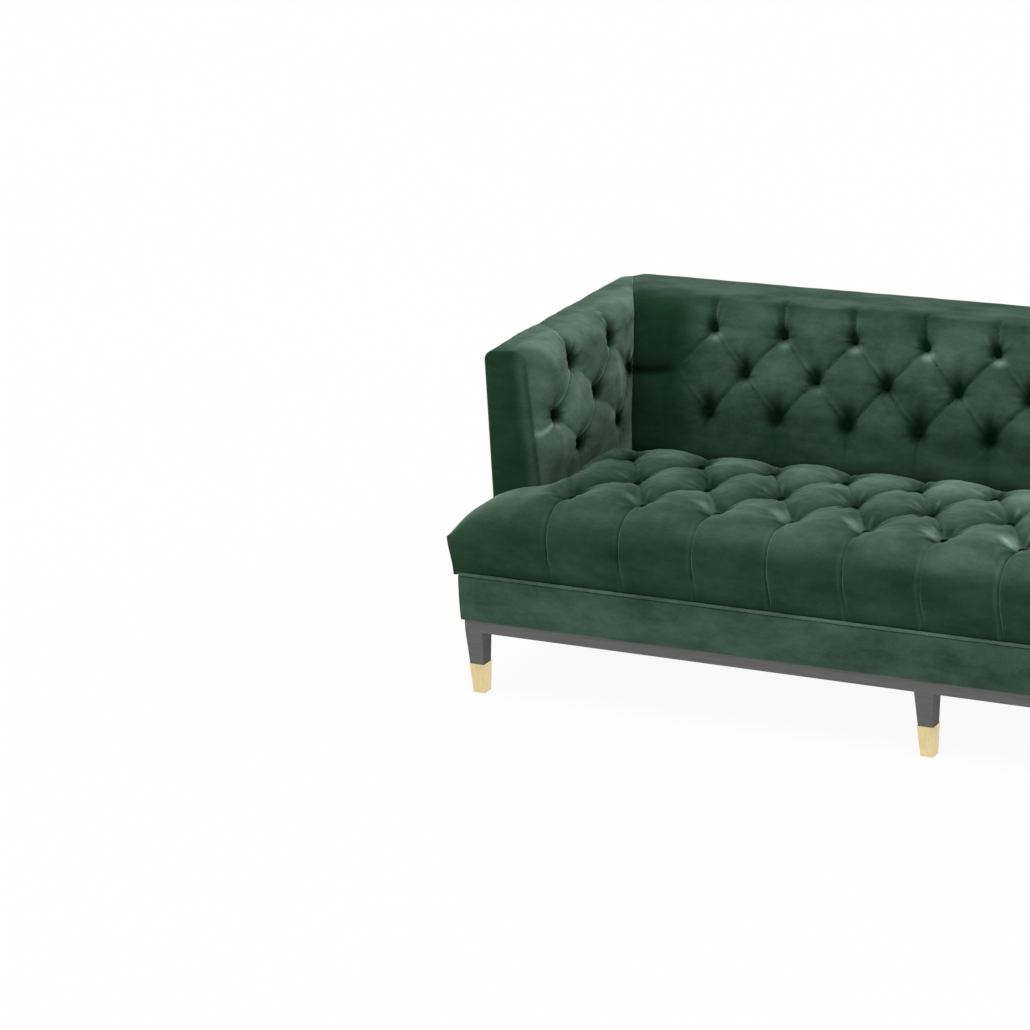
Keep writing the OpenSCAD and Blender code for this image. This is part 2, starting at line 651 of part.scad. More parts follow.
// Plinth and legs
leg_x = plinth_x - leg_top / 2;
leg_ys = [front_y + leg_top / 2, plinth_rear - leg_top / 2];
bolt_top = frame_z - 2;
module bolt_holes(y) {
    for (x = [-leg_x, 0, leg_x]) translate([x, y, leg_h - bolt_in_leg - gap])
        cylinder(r = bolt_r + fit, h = bolt_top + gap - leg_h + bolt_in_leg + gap);
}
module plinth_rail(y0, bolt_y) {
    color(lacquer) difference() {
        translate([-plinth_x, y0, leg_h]) cube([2 * plinth_x, plinth_t, plinth_h]);
        bolt_holes(bolt_y);
    }
}
module plinth_front() { plinth_rail(front_y, leg_ys[0]); }
module plinth_back() { plinth_rail(plinth_rear - plinth_t, leg_ys[1]); }
module plinth_right() {
    y0 = front_y + plinth_t;
    color(lacquer) translate([plinth_x - plinth_t, y0, leg_h])
        cube([plinth_t, plinth_rear - plinth_t - y0, plinth_h]);
}
module plinth_left() { left() plinth_right(); }
module leg_bolts() {
    color(steel) for (x = [-leg_x, 0, leg_x], y = leg_ys) translate([x, y, leg_h - bolt_in_leg])
        cylinder(r = bolt_r, h = bolt_top - leg_h + bolt_in_leg);
}
// Tapered square prism that follows the leg from z0 to z1, grown by `grow` all round
function leg_side(z) = mix(leg_foot, leg_top, (z - glide_h) / (leg_h - glide_h));
module taper(z0, z1, grow) {
    low = leg_side(z0) + 2 * grow;
    high = leg_side(z1) + 2 * grow;
    translate([0, 0, z0]) linear_extrude(z1 - z0, scale = high / low) square(low, center = true);
}
module at_leg(k) {
    translate([(k % 3 - 1) * leg_x, leg_ys[floor(k / 3)], 0]) children();
}
cap_z = glide_h + cap_wall;
module leg(k) {
    color(lacquer) at_leg(k) difference() {
        taper(cap_z, leg_h, 0);
        translate([0, 0, leg_h - bolt_in_leg - gap])
            cylinder(r = bolt_r + fit, h = bolt_in_leg + 1);
    }
}
module cap(k) {
    color(brass) at_leg(k) difference() {
        taper(glide_h, glide_h + cap_h, cap_wall + fit);
        taper(cap_z, glide_h + cap_h + 1, fit);
    }
}
module glide(k) { color(nylon) at_leg(k) cylinder(r = glide_r, h = glide_h); }

seat_pad();
seat_foam();
seat_welt();
seat_buttons();
back_pad();
back_foam();
back_buttons();
left_arm_pad();
right_arm_pad();
arm_foam();
left_arm_buttons();
right_arm_buttons();
left_arm_facing();
right_arm_facing();
left_outside_panel();
right_outside_panel();
outside_back_panel();
front_band();
left_band();
right_band();
dust_cover();
seat_straps();
cross_straps();
back_straps();
front_seat_rail();
back_seat_rail();
side_seat_rails();
cross_rails();
corner_blocks();
arm_front_posts();
arm_rear_posts();
arm_top_rails();
arm_tack_rails();
back_ribs();
back_top_rail();
back_tack_rail();
plinth_front();
plinth_back();
plinth_left();
plinth_right();
leg_bolts();
for (k = [0 : 5]) {
    leg(k);
    cap(k);
    glide(k);
}
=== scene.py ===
"""Looks of a three-seat sofa with deep diamond tufting, in velvet, dark lacquer and brass.

Metres, +Z up, the front faces -Y. Every place is worked out from the frame's nodes and the
named sizes below. The tufted pads are height fields: folds run between the covered buttons.
"""
from math import asin, ceil, copysign, cos, dist, hypot, inf, pi, radians, sin, sqrt, tan
from types import SimpleNamespace

import bmesh
import bpy
import numpy as np
from mathutils import Matrix, Vector


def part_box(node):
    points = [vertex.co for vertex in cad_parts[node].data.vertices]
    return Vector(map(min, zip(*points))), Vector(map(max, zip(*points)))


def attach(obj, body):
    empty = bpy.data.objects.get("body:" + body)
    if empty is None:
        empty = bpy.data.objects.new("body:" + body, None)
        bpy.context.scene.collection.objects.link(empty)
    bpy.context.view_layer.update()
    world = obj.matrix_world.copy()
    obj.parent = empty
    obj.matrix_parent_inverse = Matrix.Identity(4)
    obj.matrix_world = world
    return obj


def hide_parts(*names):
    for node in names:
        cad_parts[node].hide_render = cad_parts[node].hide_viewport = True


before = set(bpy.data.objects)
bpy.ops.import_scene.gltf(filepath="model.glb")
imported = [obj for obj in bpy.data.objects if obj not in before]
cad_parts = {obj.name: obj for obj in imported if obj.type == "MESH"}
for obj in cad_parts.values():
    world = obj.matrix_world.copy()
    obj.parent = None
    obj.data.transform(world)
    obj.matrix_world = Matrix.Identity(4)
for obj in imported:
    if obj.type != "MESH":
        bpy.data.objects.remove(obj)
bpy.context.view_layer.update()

# Planes that the pieces share, read from the frame
seat_lo, seat_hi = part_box("seat_pad")
facing_lo, facing_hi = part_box("right_arm_facing")
side_lo, side_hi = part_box("right_outside_panel")
band_lo, band_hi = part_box("front_band")
welt_lo, welt_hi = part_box("seat_welt")
button_lo, button_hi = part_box("seat_buttons")
HALF_W = side_hi.x
REAR_Y = side_hi.y
WALL_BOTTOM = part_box("back_pad")[0].z
ARM_FRONT_Y = facing_lo.y
ARM_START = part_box("right_arm_pad")[0].y

# Sizes of the padding
GAP = 0.0003
TOP_H = 0.760
TOP_CROWN = 0.008
RIM_Z = WALL_BOTTOM + 0.331
CORNER_R = 0.060
INNER_ROLL = 0.036
OUTER_ROLL = 0.020
SLAB_T = 0.028
TUFT_ROWS = 3
LAST_ROW = TUFT_ROWS - 1.0
BUTTON_R = 0.011
QUARTER = pi / 2.0


def mix(a, b, f):
    return a + (b - a) * f


def smooth(f):
    f = np.clip(f, 0.0, 1.0)
    return f * f * (3.0 - 2.0 * f)


def bell(x, width):
    """1 where x is 0, falling away over about `width` on both sides."""
    return np.exp(-((x / width) ** 2))


def round_drop(f):
    """How far a quarter circle of radius 1 has dropped at f of the way out."""
    return 1.0 - np.sqrt(1.0 - f * f)


def ripple(x, y, seed, size):
    """Soft uneven field between about -1 and 1 whose waves are about `size` long."""
    k = 2.0 * pi / size
    total = np.zeros(np.broadcast(x, y).shape)
    for i in range(5):
        turn = seed * 1.7 + i * 2.4
        rate = k * (0.7 + 0.23 * i)
        total += np.sin(rate * (x * cos(turn) + y * sin(turn)) + seed * 5.3 + i * 1.9)
    return total / 3.2


def samples(start, end, step):
    """Even steps from start to end, no longer than `step`."""
    return np.linspace(start, end, max(1, ceil(abs(end - start) / step)) + 1)


def arc(x, y, r, start, end, steps):
    """Points (x, y, nx, ny) about a centre, with the way out, between two angles in degrees."""
    return [(x + r * cos(a), y + r * sin(a), cos(a), sin(a))
            for a in np.radians(np.linspace(start, end, steps + 1))]


# Diamond tufting

PLEAT_BLEND = 0.35
WOBBLE_WAVES = (0.55, 0.47)
LAP_OFFSET = 0.007
LAP_WIDTH = 0.0045


def tuft_spec(**sizes):
    """Sizes of one tufted field. Rows of three values are for the pleats before the first
    buttons, the diamonds and the pleats after the last ones, or for the three button rows."""
    spec = dict(wobble=0.0022, settle=(0.0, PLEAT_BLEND), button=0.006, wide=(1.0,) * 3,
                twin=0.0, lip_w=0.006)
    return SimpleNamespace(**{**spec, **sizes})


def wobble(across, down, spec, way):
    """Irregular shift of the cloth along its run (0) or down it (1)."""
    return spec.wobble * ripple(across, down, spec.seed + 3 * way, WOBBLE_WAVES[way])


def unwobbled(across, down, spec):
    """Where a button of the warped cloth really lies."""
    return across - wobble(across, down, spec, 0), down - wobble(across, down, spec, 1)


def near_buttons(u, r, spec):
    """Distance and direction from the nearest button, the button's own number, the height of its
    gathers, and the painted highlight spots beside all buttons."""
    near = np.full(u.shape, 9.0)
    angle, key, pull, shine = np.zeros((4, *u.shape))
    for k in range(TUFT_ROWS):
        column = np.round(u - k / 2.0)
        du = (u - k / 2.0 - column) * spec.pitch
        dr = (r - k) * spec.row
        hang = np.where(dr < 0.0, spec.hang[0], spec.hang[1])
        d = np.hypot(du, dr * hang) / spec.wide[k]
        # Painted highlight: a pale spot beside each button, stronger on some buttons than on
        # others.
        aside = np.hypot(du - spec.spot[0], (dr - spec.spot[1]) * 1.5)
        luck = 0.65 + 0.35 * np.sin(12.9 * column + 4.1 * k + spec.seed)
        shine = shine + spec.shine[k] * luck * bell(aside, spec.spot[2])
        nearer = d < near
        angle = np.where(nearer, np.arctan2(dr, du), angle)
        key = np.where(nearer, column + 7.0 * k, key)
        pull = np.where(nearer, spec.gather[k], pull)
        near = np.minimum(near, d)
    return near, angle, key, pull, shine


def tufting(across, down, spec):
    """Height from 0 at a button to 1 on a crown, extra relief in metres, the depth of pits and
    folds that is painted in as shade, and the painted highlights on the pile.

    `across` and `down` are measured on the cloth from a button of the first row. Buttons lie at
    whole pitches in even rows and half way between them in odd rows. Past the first and the last
    row the folds run straight on as pleats.
    """
    across = across + wobble(across, down, spec, 0)
    down = down + wobble(across, down, spec, 1)
    u = across / spec.pitch
    r = down / spec.row
    q = np.clip(r, 0.0, LAST_ROW)
    a = u + q / 2.0
    b = u - q / 2.0
    first = smooth(-r / PLEAT_BLEND)
    last = smooth((r - LAST_ROW) / PLEAT_BLEND)
    settled = smooth((-r - spec.settle[0]) / spec.settle[1])

    def shared(values, early):
        return values[1] + (values[0] - values[1]) * early + (values[2] - values[1]) * last

    fold = np.abs(np.sin(pi * a) * np.sin(pi * b)) + 1e-9
    fold = fold ** shared(spec.round, settled)
    near, angle, key, pull, shine = near_buttons(u, r, spec)
    pit = 1.0 - np.exp(-((np.maximum(near - spec.button, 0.0) / spec.pit_r) ** spec.pit_power))
    value = pit * (1.0 - shared(spec.fold, settled) * (1.0 - fold))
    # Creases, and the lip where one side of a fold laps over the other
    off_a = a - np.round(a)
    off_b = b - np.round(b)
    pleated = np.maximum(first, last)
    reach = mix(1.0 / hypot(1.0 / spec.pitch, 0.5 / spec.row), spec.pitch, pleated)
    to_a = np.abs(off_a) * reach
    to_b = np.abs(off_b) * reach
    twin = spec.twin * smooth(-down / 0.02) * (np.mod(np.round(u), 2.0) < 0.5)
    crease = np.maximum(spec.bias * np.exp(-np.abs(to_a - twin) / spec.crease_w),
                        np.exp(-np.abs(to_b - twin) / spec.crease_w))
    crossed = np.sign(off_b) * np.exp(-to_b / spec.lip_w)
    single = np.sign(off_a) * np.exp(-to_a / spec.lip_w)
    relief = spec.lip * mix(crossed - single, single, pleated)
    relief = relief - shared(spec.crease, first) * crease
    strong = mix(spec.far, 1.0, bell(near, spec.far_at))
    relief = relief * smooth((near - spec.button) / 0.016) * strong
    # Painted highlight along the edge where one side of a fold laps over the other.
    lap = bell(off_a * reach + LAP_OFFSET, LAP_WIDTH) * smooth((near - spec.button) / 0.010)
    shine = shine + spec.ridge * lap * strong * (1.0 - last)
    # Gathers that radiate from a button
    chance = np.mod(np.sin(key * 12.9898 + spec.seed) * 43758.5, 1.0)
    turns = 7.0 + np.floor(4.0 * chance)
    ring = bell(near - spec.button - spec.gather_at, 0.8 * spec.gather_at)
    spokes = np.cos(turns * angle + 40.0 * chance)
    spokes = spokes + 0.6 * np.cos((turns + 4.0) * angle + 9.0 * chance)
    relief = relief + pull * ring * spokes
    # Painted glint on the crests of the gathers.
    shine = shine + spec.glint * pull / spec.gather[0] * ring * np.maximum(spokes, 0.0)
    # No two crowns are alike
    cell = np.sin(12.9898 * np.floor(a) + 78.233 * np.floor(b) + spec.seed)
    value = value * (1.0 + spec.uneven * cell * fold)
    for part, seed, size in ((1.0, 7, 0.085), (0.5, 9, 0.034)):
        relief = relief + part * spec.slack * ripple(across, down, spec.seed + seed, size)
    # Painted shade: darkest in the pits and along the folds.
    depth = np.clip(1.0 - pit * (1.0 - 0.45 * (1.0 - fold)), 0.0, 1.0)
    return value, relief, depth, shine


# Meshes

CAP_INSETS = (0.003, 0.012)
SHARP_ANGLE = 50.0
# Painted shade on the top edge of the front band, under the seat's piping.
TOP_SHADE = 0.45
MIRROR = Matrix.Scale(-1.0, 4, (1.0, 0.0, 0.0))


def linked(name, data):
    made = bpy.data.objects.new(name, data)
    bpy.context.scene.collection.objects.link(made)
    return made


def add_mesh(name, points, faces):
    """Smooth mesh of points (x, y, z) or (x, y, z, painted fold shade, nap, partly painted
    sheen).
    """
    points = np.asarray(points, float)
    mesh = bpy.data.meshes.new(name)
    mesh.from_pydata(points[:, :3].tolist(), [], faces)
    mesh.update()
    mesh.shade_smooth()
    for kind, values in zip(("fold", "nap"), points.T[3:]):
        layer = mesh.attributes.new(kind, "FLOAT", "POINT")
        layer.data.foreach_set("value", np.ascontiguousarray(values, np.float32))
    return linked(name, mesh)


def outward(made):
    """Turns the faces of a closed mesh outwards."""
    bm = bmesh.new()
    bm.from_mesh(made.data)
    bmesh.ops.recalc_face_normals(bm, faces=bm.faces)
    bm.to_mesh(made.data)
    bm.free()
    made.data.shade_smooth()
    made.data.set_sharp_from_angle(angle=radians(SHARP_ANGLE))
    return made


def grid_faces(rows, columns, closed=True):
    """Quads between rows of points, whose ends are joined where `closed`."""
    i = np.arange(rows - 1)[:, None] * columns
    j = np.arange(columns if closed else columns - 1)[None, :]
    k = (j + 1) % columns
    quads = np.stack([i + j, i + k, i + columns + k, i + columns + j], axis=-1)
    return quads.reshape(-1, 4).tolist()


def turned_over(faces):
    return [face[:1] + face[:0:-1] for face in faces]


def loft(name, rings, caps=0, bulge=0.0, close=None):
    """Closed skin through rings of points (x, y, z, painted fold shade, nap, partly painted
    sheen). Each end is closed by `caps` rings drawn in a little, swollen outwards by up to
    `bulge`, and a last face, or the last end by the faces `close`."""
    rings = np.asarray(rings, float)
    layers = [rings]
    for end, next_ring in ((0, rings[1]), (-1, rings[-2])):
        ring = rings[end]
        centre = (ring.max(axis=0) + ring.min(axis=0))[:3] / 2.0
        size = np.linalg.norm(ring[:, :3] - centre, axis=1).max()
        away = (ring - next_ring)[:, :3].mean(axis=0)
        for f in [inset / size for inset in CAP_INSETS[:caps]]:
            swell = bulge * (1.0 - (1.0 - f) ** 2) / np.linalg.norm(away)
            cap = ring.copy()
            cap[:, :3] = mix(ring[:, :3], centre, f) + swell * away
            layers.insert(0 if end == 0 else len(layers), cap[None])
    points = np.concatenate(layers)
    n, m = points.shape[:2]
    faces = grid_faces(n, m)
    faces.append(list(range(m))[::-1])
    last = (n - 1) * m
    for face in close or [range(m)]:
        faces.append([last + v for v in face])
    return outward(add_mesh(name, points.reshape(-1, 5), faces))


def swept(name, section, path, nap=0.0, dark_above=inf, **ends):
    """Skin of a closed section [(out, up), ...] along a level path [(x, y, nx, ny), ...], where
    (nx, ny) points outwards. Shade is painted into it above the height `dark_above`, and `nap`
    paints it paler, partly the pile's lie and partly painted sheen."""
    rings = [[(x + nx * out, y + ny * out, up, TOP_SHADE * (up > dark_above), nap)
              for out, up in section] for x, y, nx, ny in path]
    return loft(name, rings, **ends)


def finished(made, node, material):
    """Gives a piece its material, lets it ride on the root body and hides the frame's part for
    its node.
    """
    made.data.materials.clear()
    made.data.materials.append(material)
    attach(made, "root")
    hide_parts(node)


def finished_pair(right, node):
    """Finishes a velvet piece of the right side and its mirror image on the left."""
    left = linked(right.name.replace("right", "left"), right.data.copy())
    left.data.transform(MIRROR)
    left.data.flip_normals()
    finished(right, node, VELVET)
    finished(left, node.replace("right", "left"), VELVET)


# Materials

WHITE = (1.0, 1.0, 1.0)


class Nodes:
    """Short way to add linked nodes to a new material or to the world."""

    def __init__(self, owner, shader="Principled BSDF"):
        owner.use_nodes = True
        self.owner = owner
        self.tree = owner.node_tree
        self.shader = self.tree.nodes[shader]

    def feed(self, node, inputs):
        """Links the inputs of a node to their sources, or sets their numbers and colours."""
        for key, value in inputs.items():
            socket = node.inputs[key]
            if isinstance(value, bpy.types.NodeSocket):
                self.tree.links.new(value, socket)
            else:
                socket.default_value = (*value, 1.0) if socket.type == "RGBA" else value

    def add(self, kind, inputs, output=0, **settings):
        """One output of a new node."""
        node = self.tree.nodes.new("ShaderNode" + kind)
        for key, value in settings.items():
            setattr(node, key, value)
        self.feed(node, inputs)
        return node.outputs[output]

    def placed(self, stretch=WHITE):
        """Object coordinates, stretched along each axis."""
        place = self.add("TexCoord", {}, "Object")
        return self.add("Mapping", {"Vector": place, "Scale": stretch})

    def noise(self, scale, detail=2.0, rough=0.5, stretch=WHITE):
        return self.add("TexNoise", {"Vector": self.placed(stretch), "Scale": scale,
                                     "Detail": detail, "Roughness": rough}, "Fac")

    def point_value(self, name):
        return self.add("Attribute", {}, "Fac", attribute_name=name)

    def ramp(self, source, low, high, start=0.3, end=0.7):
        color = self.add("ValToRGB", {"Fac": source})
        for stop, place, shade in zip(color.node.color_ramp.elements, (start, end), (low, high)):
            stop.position = place
            stop.color = (*shade, 1.0)
        return color

    def math(self, operation, first, second):
        return self.add("Math", {0: first, 1: second}, operation=operation)

    def times(self, first, second):
        return self.math("MULTIPLY", first, second)

    def scaled(self, source, factor, base):
        """The source times a factor, plus a base."""
        return self.math("ADD", self.times(source, factor), base)

    def blend(self, factor, first, second, kind="MIX"):
        inputs = {0: factor, 6: first, 7: second}
        return self.add("Mix", inputs, 2, data_type="RGBA", blend_type=kind)

    def bump(self, height, distance, strength, **under):
        inputs = {"Height": height, "Distance": distance, "Strength": strength}
        return self.add("Bump", {**inputs, **under})

    def done(self, **values):
        """Feeds the shader, its sockets written with _ for a space, and returns the owner."""
        self.feed(self.shader, {key.replace("_", " "): value for key, value in values.items()})
        return self.owner

    def glow(self, kind, share, output):
        """Gives rays that see the surroundings, straight or in a reflection, a white glow in
        place of a share of the shader. Light that falls on the sofa stays as it is."""
        rays = self.add("LightPath", {}).node.outputs
        seen = self.math("ADD", rays["Is Camera Ray"], rays["Is Glossy Ray"])
        seen = self.math("ADD", seen, rays["Is Transmission Ray"])
        share = self.times(self.math("MINIMUM", seen, 1.0), share)
        white = self.add(kind, {"Color": WHITE, "Strength": 1.0})
        mixed = self.add("MixShader", {0: share, 1: self.shader.outputs[0], 2: white})
        self.feed(self.tree.nodes[output], {"Surface": mixed})


def new_material(name):
    return Nodes(bpy.data.materials.new(name))


def velvet(name, shade=1.0, sheen=0.7):
    """Short-pile velvet: brushed patches and a speckled nap, with shade painted in from the fold
    attribute, which darkens the colour and turns the sheen down in folds, pits and crevices,
    pale colour painted in from the nap attribute, partly the pile's lie and partly painted sheen
    and highlights, and a real sheen that is pale at grazing angles. `shade` scales the colour
    down."""
    n = new_material(name)
    dark = tuple(shade * c for c in (0.0060, 0.0268, 0.0105))
    mid = tuple(shade * c for c in (0.0105, 0.0395, 0.0172))
    brushed = n.noise(9.0, 5.0, 0.68, (0.6, 1.0, 1.3))
    # Nap attribute: pale colour added, partly the pile's lie and partly painted sheen and
    # painted highlights.
    lay = n.times(n.point_value("nap"), n.scaled(brushed, 2.6, -0.3))
    color = n.blend(lay, n.ramp(brushed, dark, mid, 0.33, 0.68), (0.70, 1.0, 0.83), "ADD")
    nap = n.noise(420.0, 3.0, 0.7, (1.0, 1.0, 0.6))
    speckle = n.ramp(nap, (0.86, 0.86, 0.86), (1.12, 1.12, 1.12), 0.32, 0.7)
    # Painted shade: the fold attribute darkens the colour and turns the sheen down.
    deep = n.point_value("fold")
    painted_fold_shade = n.ramp(deep, WHITE, (0.26, 0.28, 0.27), 0.40, 1.0)
    for shading in (speckle, painted_fold_shade):
        color = n.blend(1.0, color, shading, "MULTIPLY")
    return n.done(
        Base_Color=color,
        Roughness=n.scaled(nap, 0.15, 0.72),
        Normal=n.bump(nap, 0.0005, 0.6, Normal=n.bump(n.noise(60.0, 4.0, 0.6), 0.0010, 0.5)),
        Sheen_Weight=n.times(n.scaled(deep, -1.0, 1.1), n.times(brushed, sheen * 2)),
        Sheen_Roughness=0.42,
        Sheen_Tint=(0.50, 0.72, 0.60),
        Specular_IOR_Level=0.0,
    )


def lacquer(name):
    """Satin charcoal lacquer over wood, with a faint grain and brush marks."""
    n = new_material(name)
    grain = n.noise(30.0, 5.0, 0.6, (0.35, 8.0, 8.0))
    return n.done(
        Base_Color=n.ramp(grain, (0.104, 0.102, 0.103), (0.138, 0.135, 0.136)),
        Roughness=n.scaled(n.noise(14.0, 3.0), 0.14, 0.42),
        Normal=n.bump(grain, 0.0002, 0.4),
        Specular_IOR_Level=0.2,
    )


def brass(name):
    """Pale brass, brushed along the leg and slightly worn."""
    n = new_material(name)
    lines = n.noise(260.0, 4.0, 0.6, (1.0, 1.0, 0.06))
    color = n.ramp(n.noise(25.0, 3.0), (0.70, 0.56, 0.27), (0.83, 0.69, 0.37))
    return n.done(
        Base_Color=n.blend(0.22, color, n.ramp(lines, (0.5, 0.4, 0.2), (1.0, 0.88, 0.56))),
        Roughness=n.scaled(lines, 0.2, 0.24),
        Normal=n.bump(lines, 0.00006, 0.6),
        Metallic=1.0,
    )


def timber(name, low, high, ring_scale):
    """Planed wood with grain along X."""
    n = new_material(name)
    warp = n.noise(3.0, 3.0, 0.5, (0.4, 3.0, 3.0))
    wave = n.add("TexWave", {"Vector": n.placed((0.15, 1.0, 1.0)), "Scale": ring_scale,
                             "Distortion": 3.0, "Phase Offset": n.times(warp, 9.0)}, "Fac")
    pores = n.noise(180.0, 4.0, 0.65, (0.12, 1.0, 1.0))
    return n.done(
        Base_Color=n.blend(n.times(pores, 0.35), n.ramp(wave, low, high), low),
        Roughness=n.scaled(pores, 0.2, 0.5),
        Normal=n.bump(pores, 0.0002, 0.5),
    )


def foam(name):
    """Open-cell foam with fine pores."""
    n = new_material(name)
    cells = n.add("TexVoronoi", {"Vector": n.placed(), "Scale": 420.0}, "Distance")
    color = n.ramp(cells, (0.55, 0.49, 0.33), (0.86, 0.80, 0.62), 0.05, 0.5)
    return n.done(Base_Color=color, Roughness=0.95, Normal=n.bump(cells, 0.0012, 0.8))


def woven(name, low, high, scale, depth):
    """Plain weave of crossing threads."""
    n = new_material(name)
    inputs = {"Vector": n.placed(), "Scale": scale}
    threads = n.times(*[n.add("TexWave", inputs, "Fac", bands_direction=way) for way in "XY"])
    fuzzy = n.math("ADD", threads, n.times(n.noise(300.0, 3.0), 0.4))
    return n.done(Base_Color=n.ramp(fuzzy, low, high, 0.2, 1.0), Roughness=0.85,
                  Normal=n.bump(threads, depth, 0.8))


def plain(name, low, high, rough, metal=0.0):
    """Moulded or plated surface with slight clouding."""
    n = new_material(name)
    cloud = n.noise(60.0, 4.0)
    return n.done(
        Base_Color=n.ramp(cloud, low, high),
        Roughness=n.scaled(cloud, 0.2, rough - 0.1),
        Normal=n.bump(cloud, 0.0002, 0.4),
        Metallic=metal,
    )


VELVET = velvet("velvet_pile")
# Painted shade: the buttons' velvet is darkened to 0.3 with little sheen, so that they read as
# dark pits.
BUTTON_VELVET_PAINTED_SHADE = velvet("velvet_trim", 0.3, 0.06)
LACQUER = lacquer("charcoal_lacquer")
BRASS = brass("pale_brass")
HARDWOOD = timber("planed_beech", (0.36, 0.21, 0.11), (0.56, 0.37, 0.21), 28.0)
PLYWOOD = timber("birch_ply", (0.48, 0.33, 0.18), (0.68, 0.52, 0.33), 60.0)
FOAM = foam("cream_foam")
WEBBING = woven("black_webbing", (0.012, 0.012, 0.013), (0.07, 0.07, 0.075), 260.0, 0.0006)
DUST_CLOTH = woven("black_dust_cloth", (0.012, 0.012, 0.012), (0.04, 0.04, 0.042), 700.0, 0.0003)
STEEL = plain("zinc_steel", (0.42, 0.43, 0.45), (0.58, 0.59, 0.61), 0.35, 1.0)
NYLON = plain("black_nylon", (0.015, 0.015, 0.015), (0.035, 0.035, 0.035), 0.5)

# Arms and back: one wall each, seen along its run. `d` is the distance out from the middle of
# the sofa and `s` the distance down the padding from the top button row.

ROW_STEP = 0.098
ROW_H = 0.705
WALL_FOOT = (TUFT_ROWS - 1 + 2 / 3) * ROW_STEP
CORNER_IN = CORNER_R * (1.0 - sqrt(0.5))
MITRE_GAP = 0.0002
LIP_H = 0.022
FOOT_PRESS = 0.0115
FOOT_PULL = 0.005
BACK_DEPTH = 0.231
ARM_DEPTH = 0.129
CLOTH_STEP = 0.0049
ROLL_STEP = 0.0045
TOP_STEP = 0.006
RIM_STEPS = 8
END_FADE = 0.11
EDGE_ROLL = 0.034
EDGE_TUCK = 0.85 * SLAB_T
FACING_R = 0.044
FACING_CROWN = 0.010
FACING_FALL = 0.07
SKIN_GAP = 0.0006
TINY = 1e-6


def rolled_edge(w, turn):
    """Offset from the inner roll's centre to its skin where it faces `turn`."""
    a, b = w.roll
    size = np.hypot(a * np.cos(turn), b * np.sin(turn))
    return a * a * np.cos(turn) / size, b * b * np.sin(turn) / size


def inside(w, z):
    """Distance of the plane through the buttons from the middle, at height z."""
    foot = ROW_H - WALL_FOOT * cos(w.lean)
    return w.pit + (np.clip(z, foot, w.roll_foot) - ROW_H) * tan(w.lean)


def wall(depth, lean, outer, **more):
    """`roll` holds the level and the upright half axis of the rounded inner top edge, `nap` how
    pale the pile is painted on the plain ends, the upper and the lower crowns and the top,
    partly the pile's lie and partly painted sheen, `over` is 1 where the folds run on over the
    top, `ends` are the outermost buttons and `front` is the open edge that meets an arm front."""
    w = SimpleNamespace(pit=outer - depth, lean=radians(lean), outer=outer,
                        rim=OUTER_ROLL * depth / ARM_DEPTH, **more)
    out, up = rolled_edge(w, pi - w.lean)
    w.roll_foot = TOP_H - w.roll[1] + up
    w.roll_start = (ROW_H - w.roll_foot) / cos(w.lean)
    w.roll_centre = inside(w, TOP_H) - out
    return w


def wall_view(w):
    """Side view of the padding's skin: columns d, z, direction in radians and s."""
    foot_z = ROW_H - WALL_FOOT * cos(w.lean)
    rows = [(inside(w, 0.0), z, pi, WALL_FOOT + 0.06 * f) for z, f in
            ((WALL_BOTTOM - LIP_H, 1.4), (WALL_BOTTOM - 0.4 * LIP_H, 1.2), (WALL_BOTTOM, 1.0),
             (mix(WALL_BOTTOM, foot_z, 0.3), 0.7), (mix(WALL_BOTTOM, foot_z, 0.6), 0.4))]
    for s in samples(WALL_FOOT, w.roll_start, CLOTH_STEP)[:-1]:
        rows.append((w.pit - s * sin(w.lean), ROW_H - s * cos(w.lean), pi - w.lean, s))
    s = w.roll_start
    steps = ceil(1.3 * max(w.roll) / ROLL_STEP)
    for a in np.linspace(pi - w.lean, QUARTER, steps + 1):
        out, up = rolled_edge(w, a)
        point = (w.roll_centre + out, TOP_H - w.roll[1] + up)
        if a < pi - w.lean:
            s -= dist(point, rows[-1][:2])
        rows.append((*point, a, s))
    rim_d = w.outer - w.rim
    for d in samples(w.roll_centre, rim_d, TOP_STEP)[1:-1]:
        rows.append((d, TOP_H, QUARTER, s + w.roll_centre - d))
    s += w.roll_centre - rim_d
    for a in np.linspace(QUARTER, 0.0, RIM_STEPS + 1):
        rows.append((rim_d + w.rim * cos(a), TOP_H + OUTER_ROLL * (sin(a) - 1.0), a,
                     s + w.rim * (a - QUARTER)))
    s -= w.rim * QUARTER
    rows.append((w.outer, RIM_Z + 0.003, 0.0, s - 0.004))
    rows.append((w.outer - 0.002, RIM_Z, 0.0, s - 0.007))
    return np.array(rows).T


def facing_side(z):
    """Inner edge of the arm front, which follows the lean of the arm."""
    return inside(ARM, z) + EDGE_TUCK


def crowned(x, z, x0, x1, top):
    """Height of the arm front's outline, whose top rises towards the seat."""
    crown = FACING_CROWN / (x1 - x0)
    return z + crown * np.minimum(x1 - x, x1 - x0) * smooth((z - top) / FACING_FALL + 1.0)


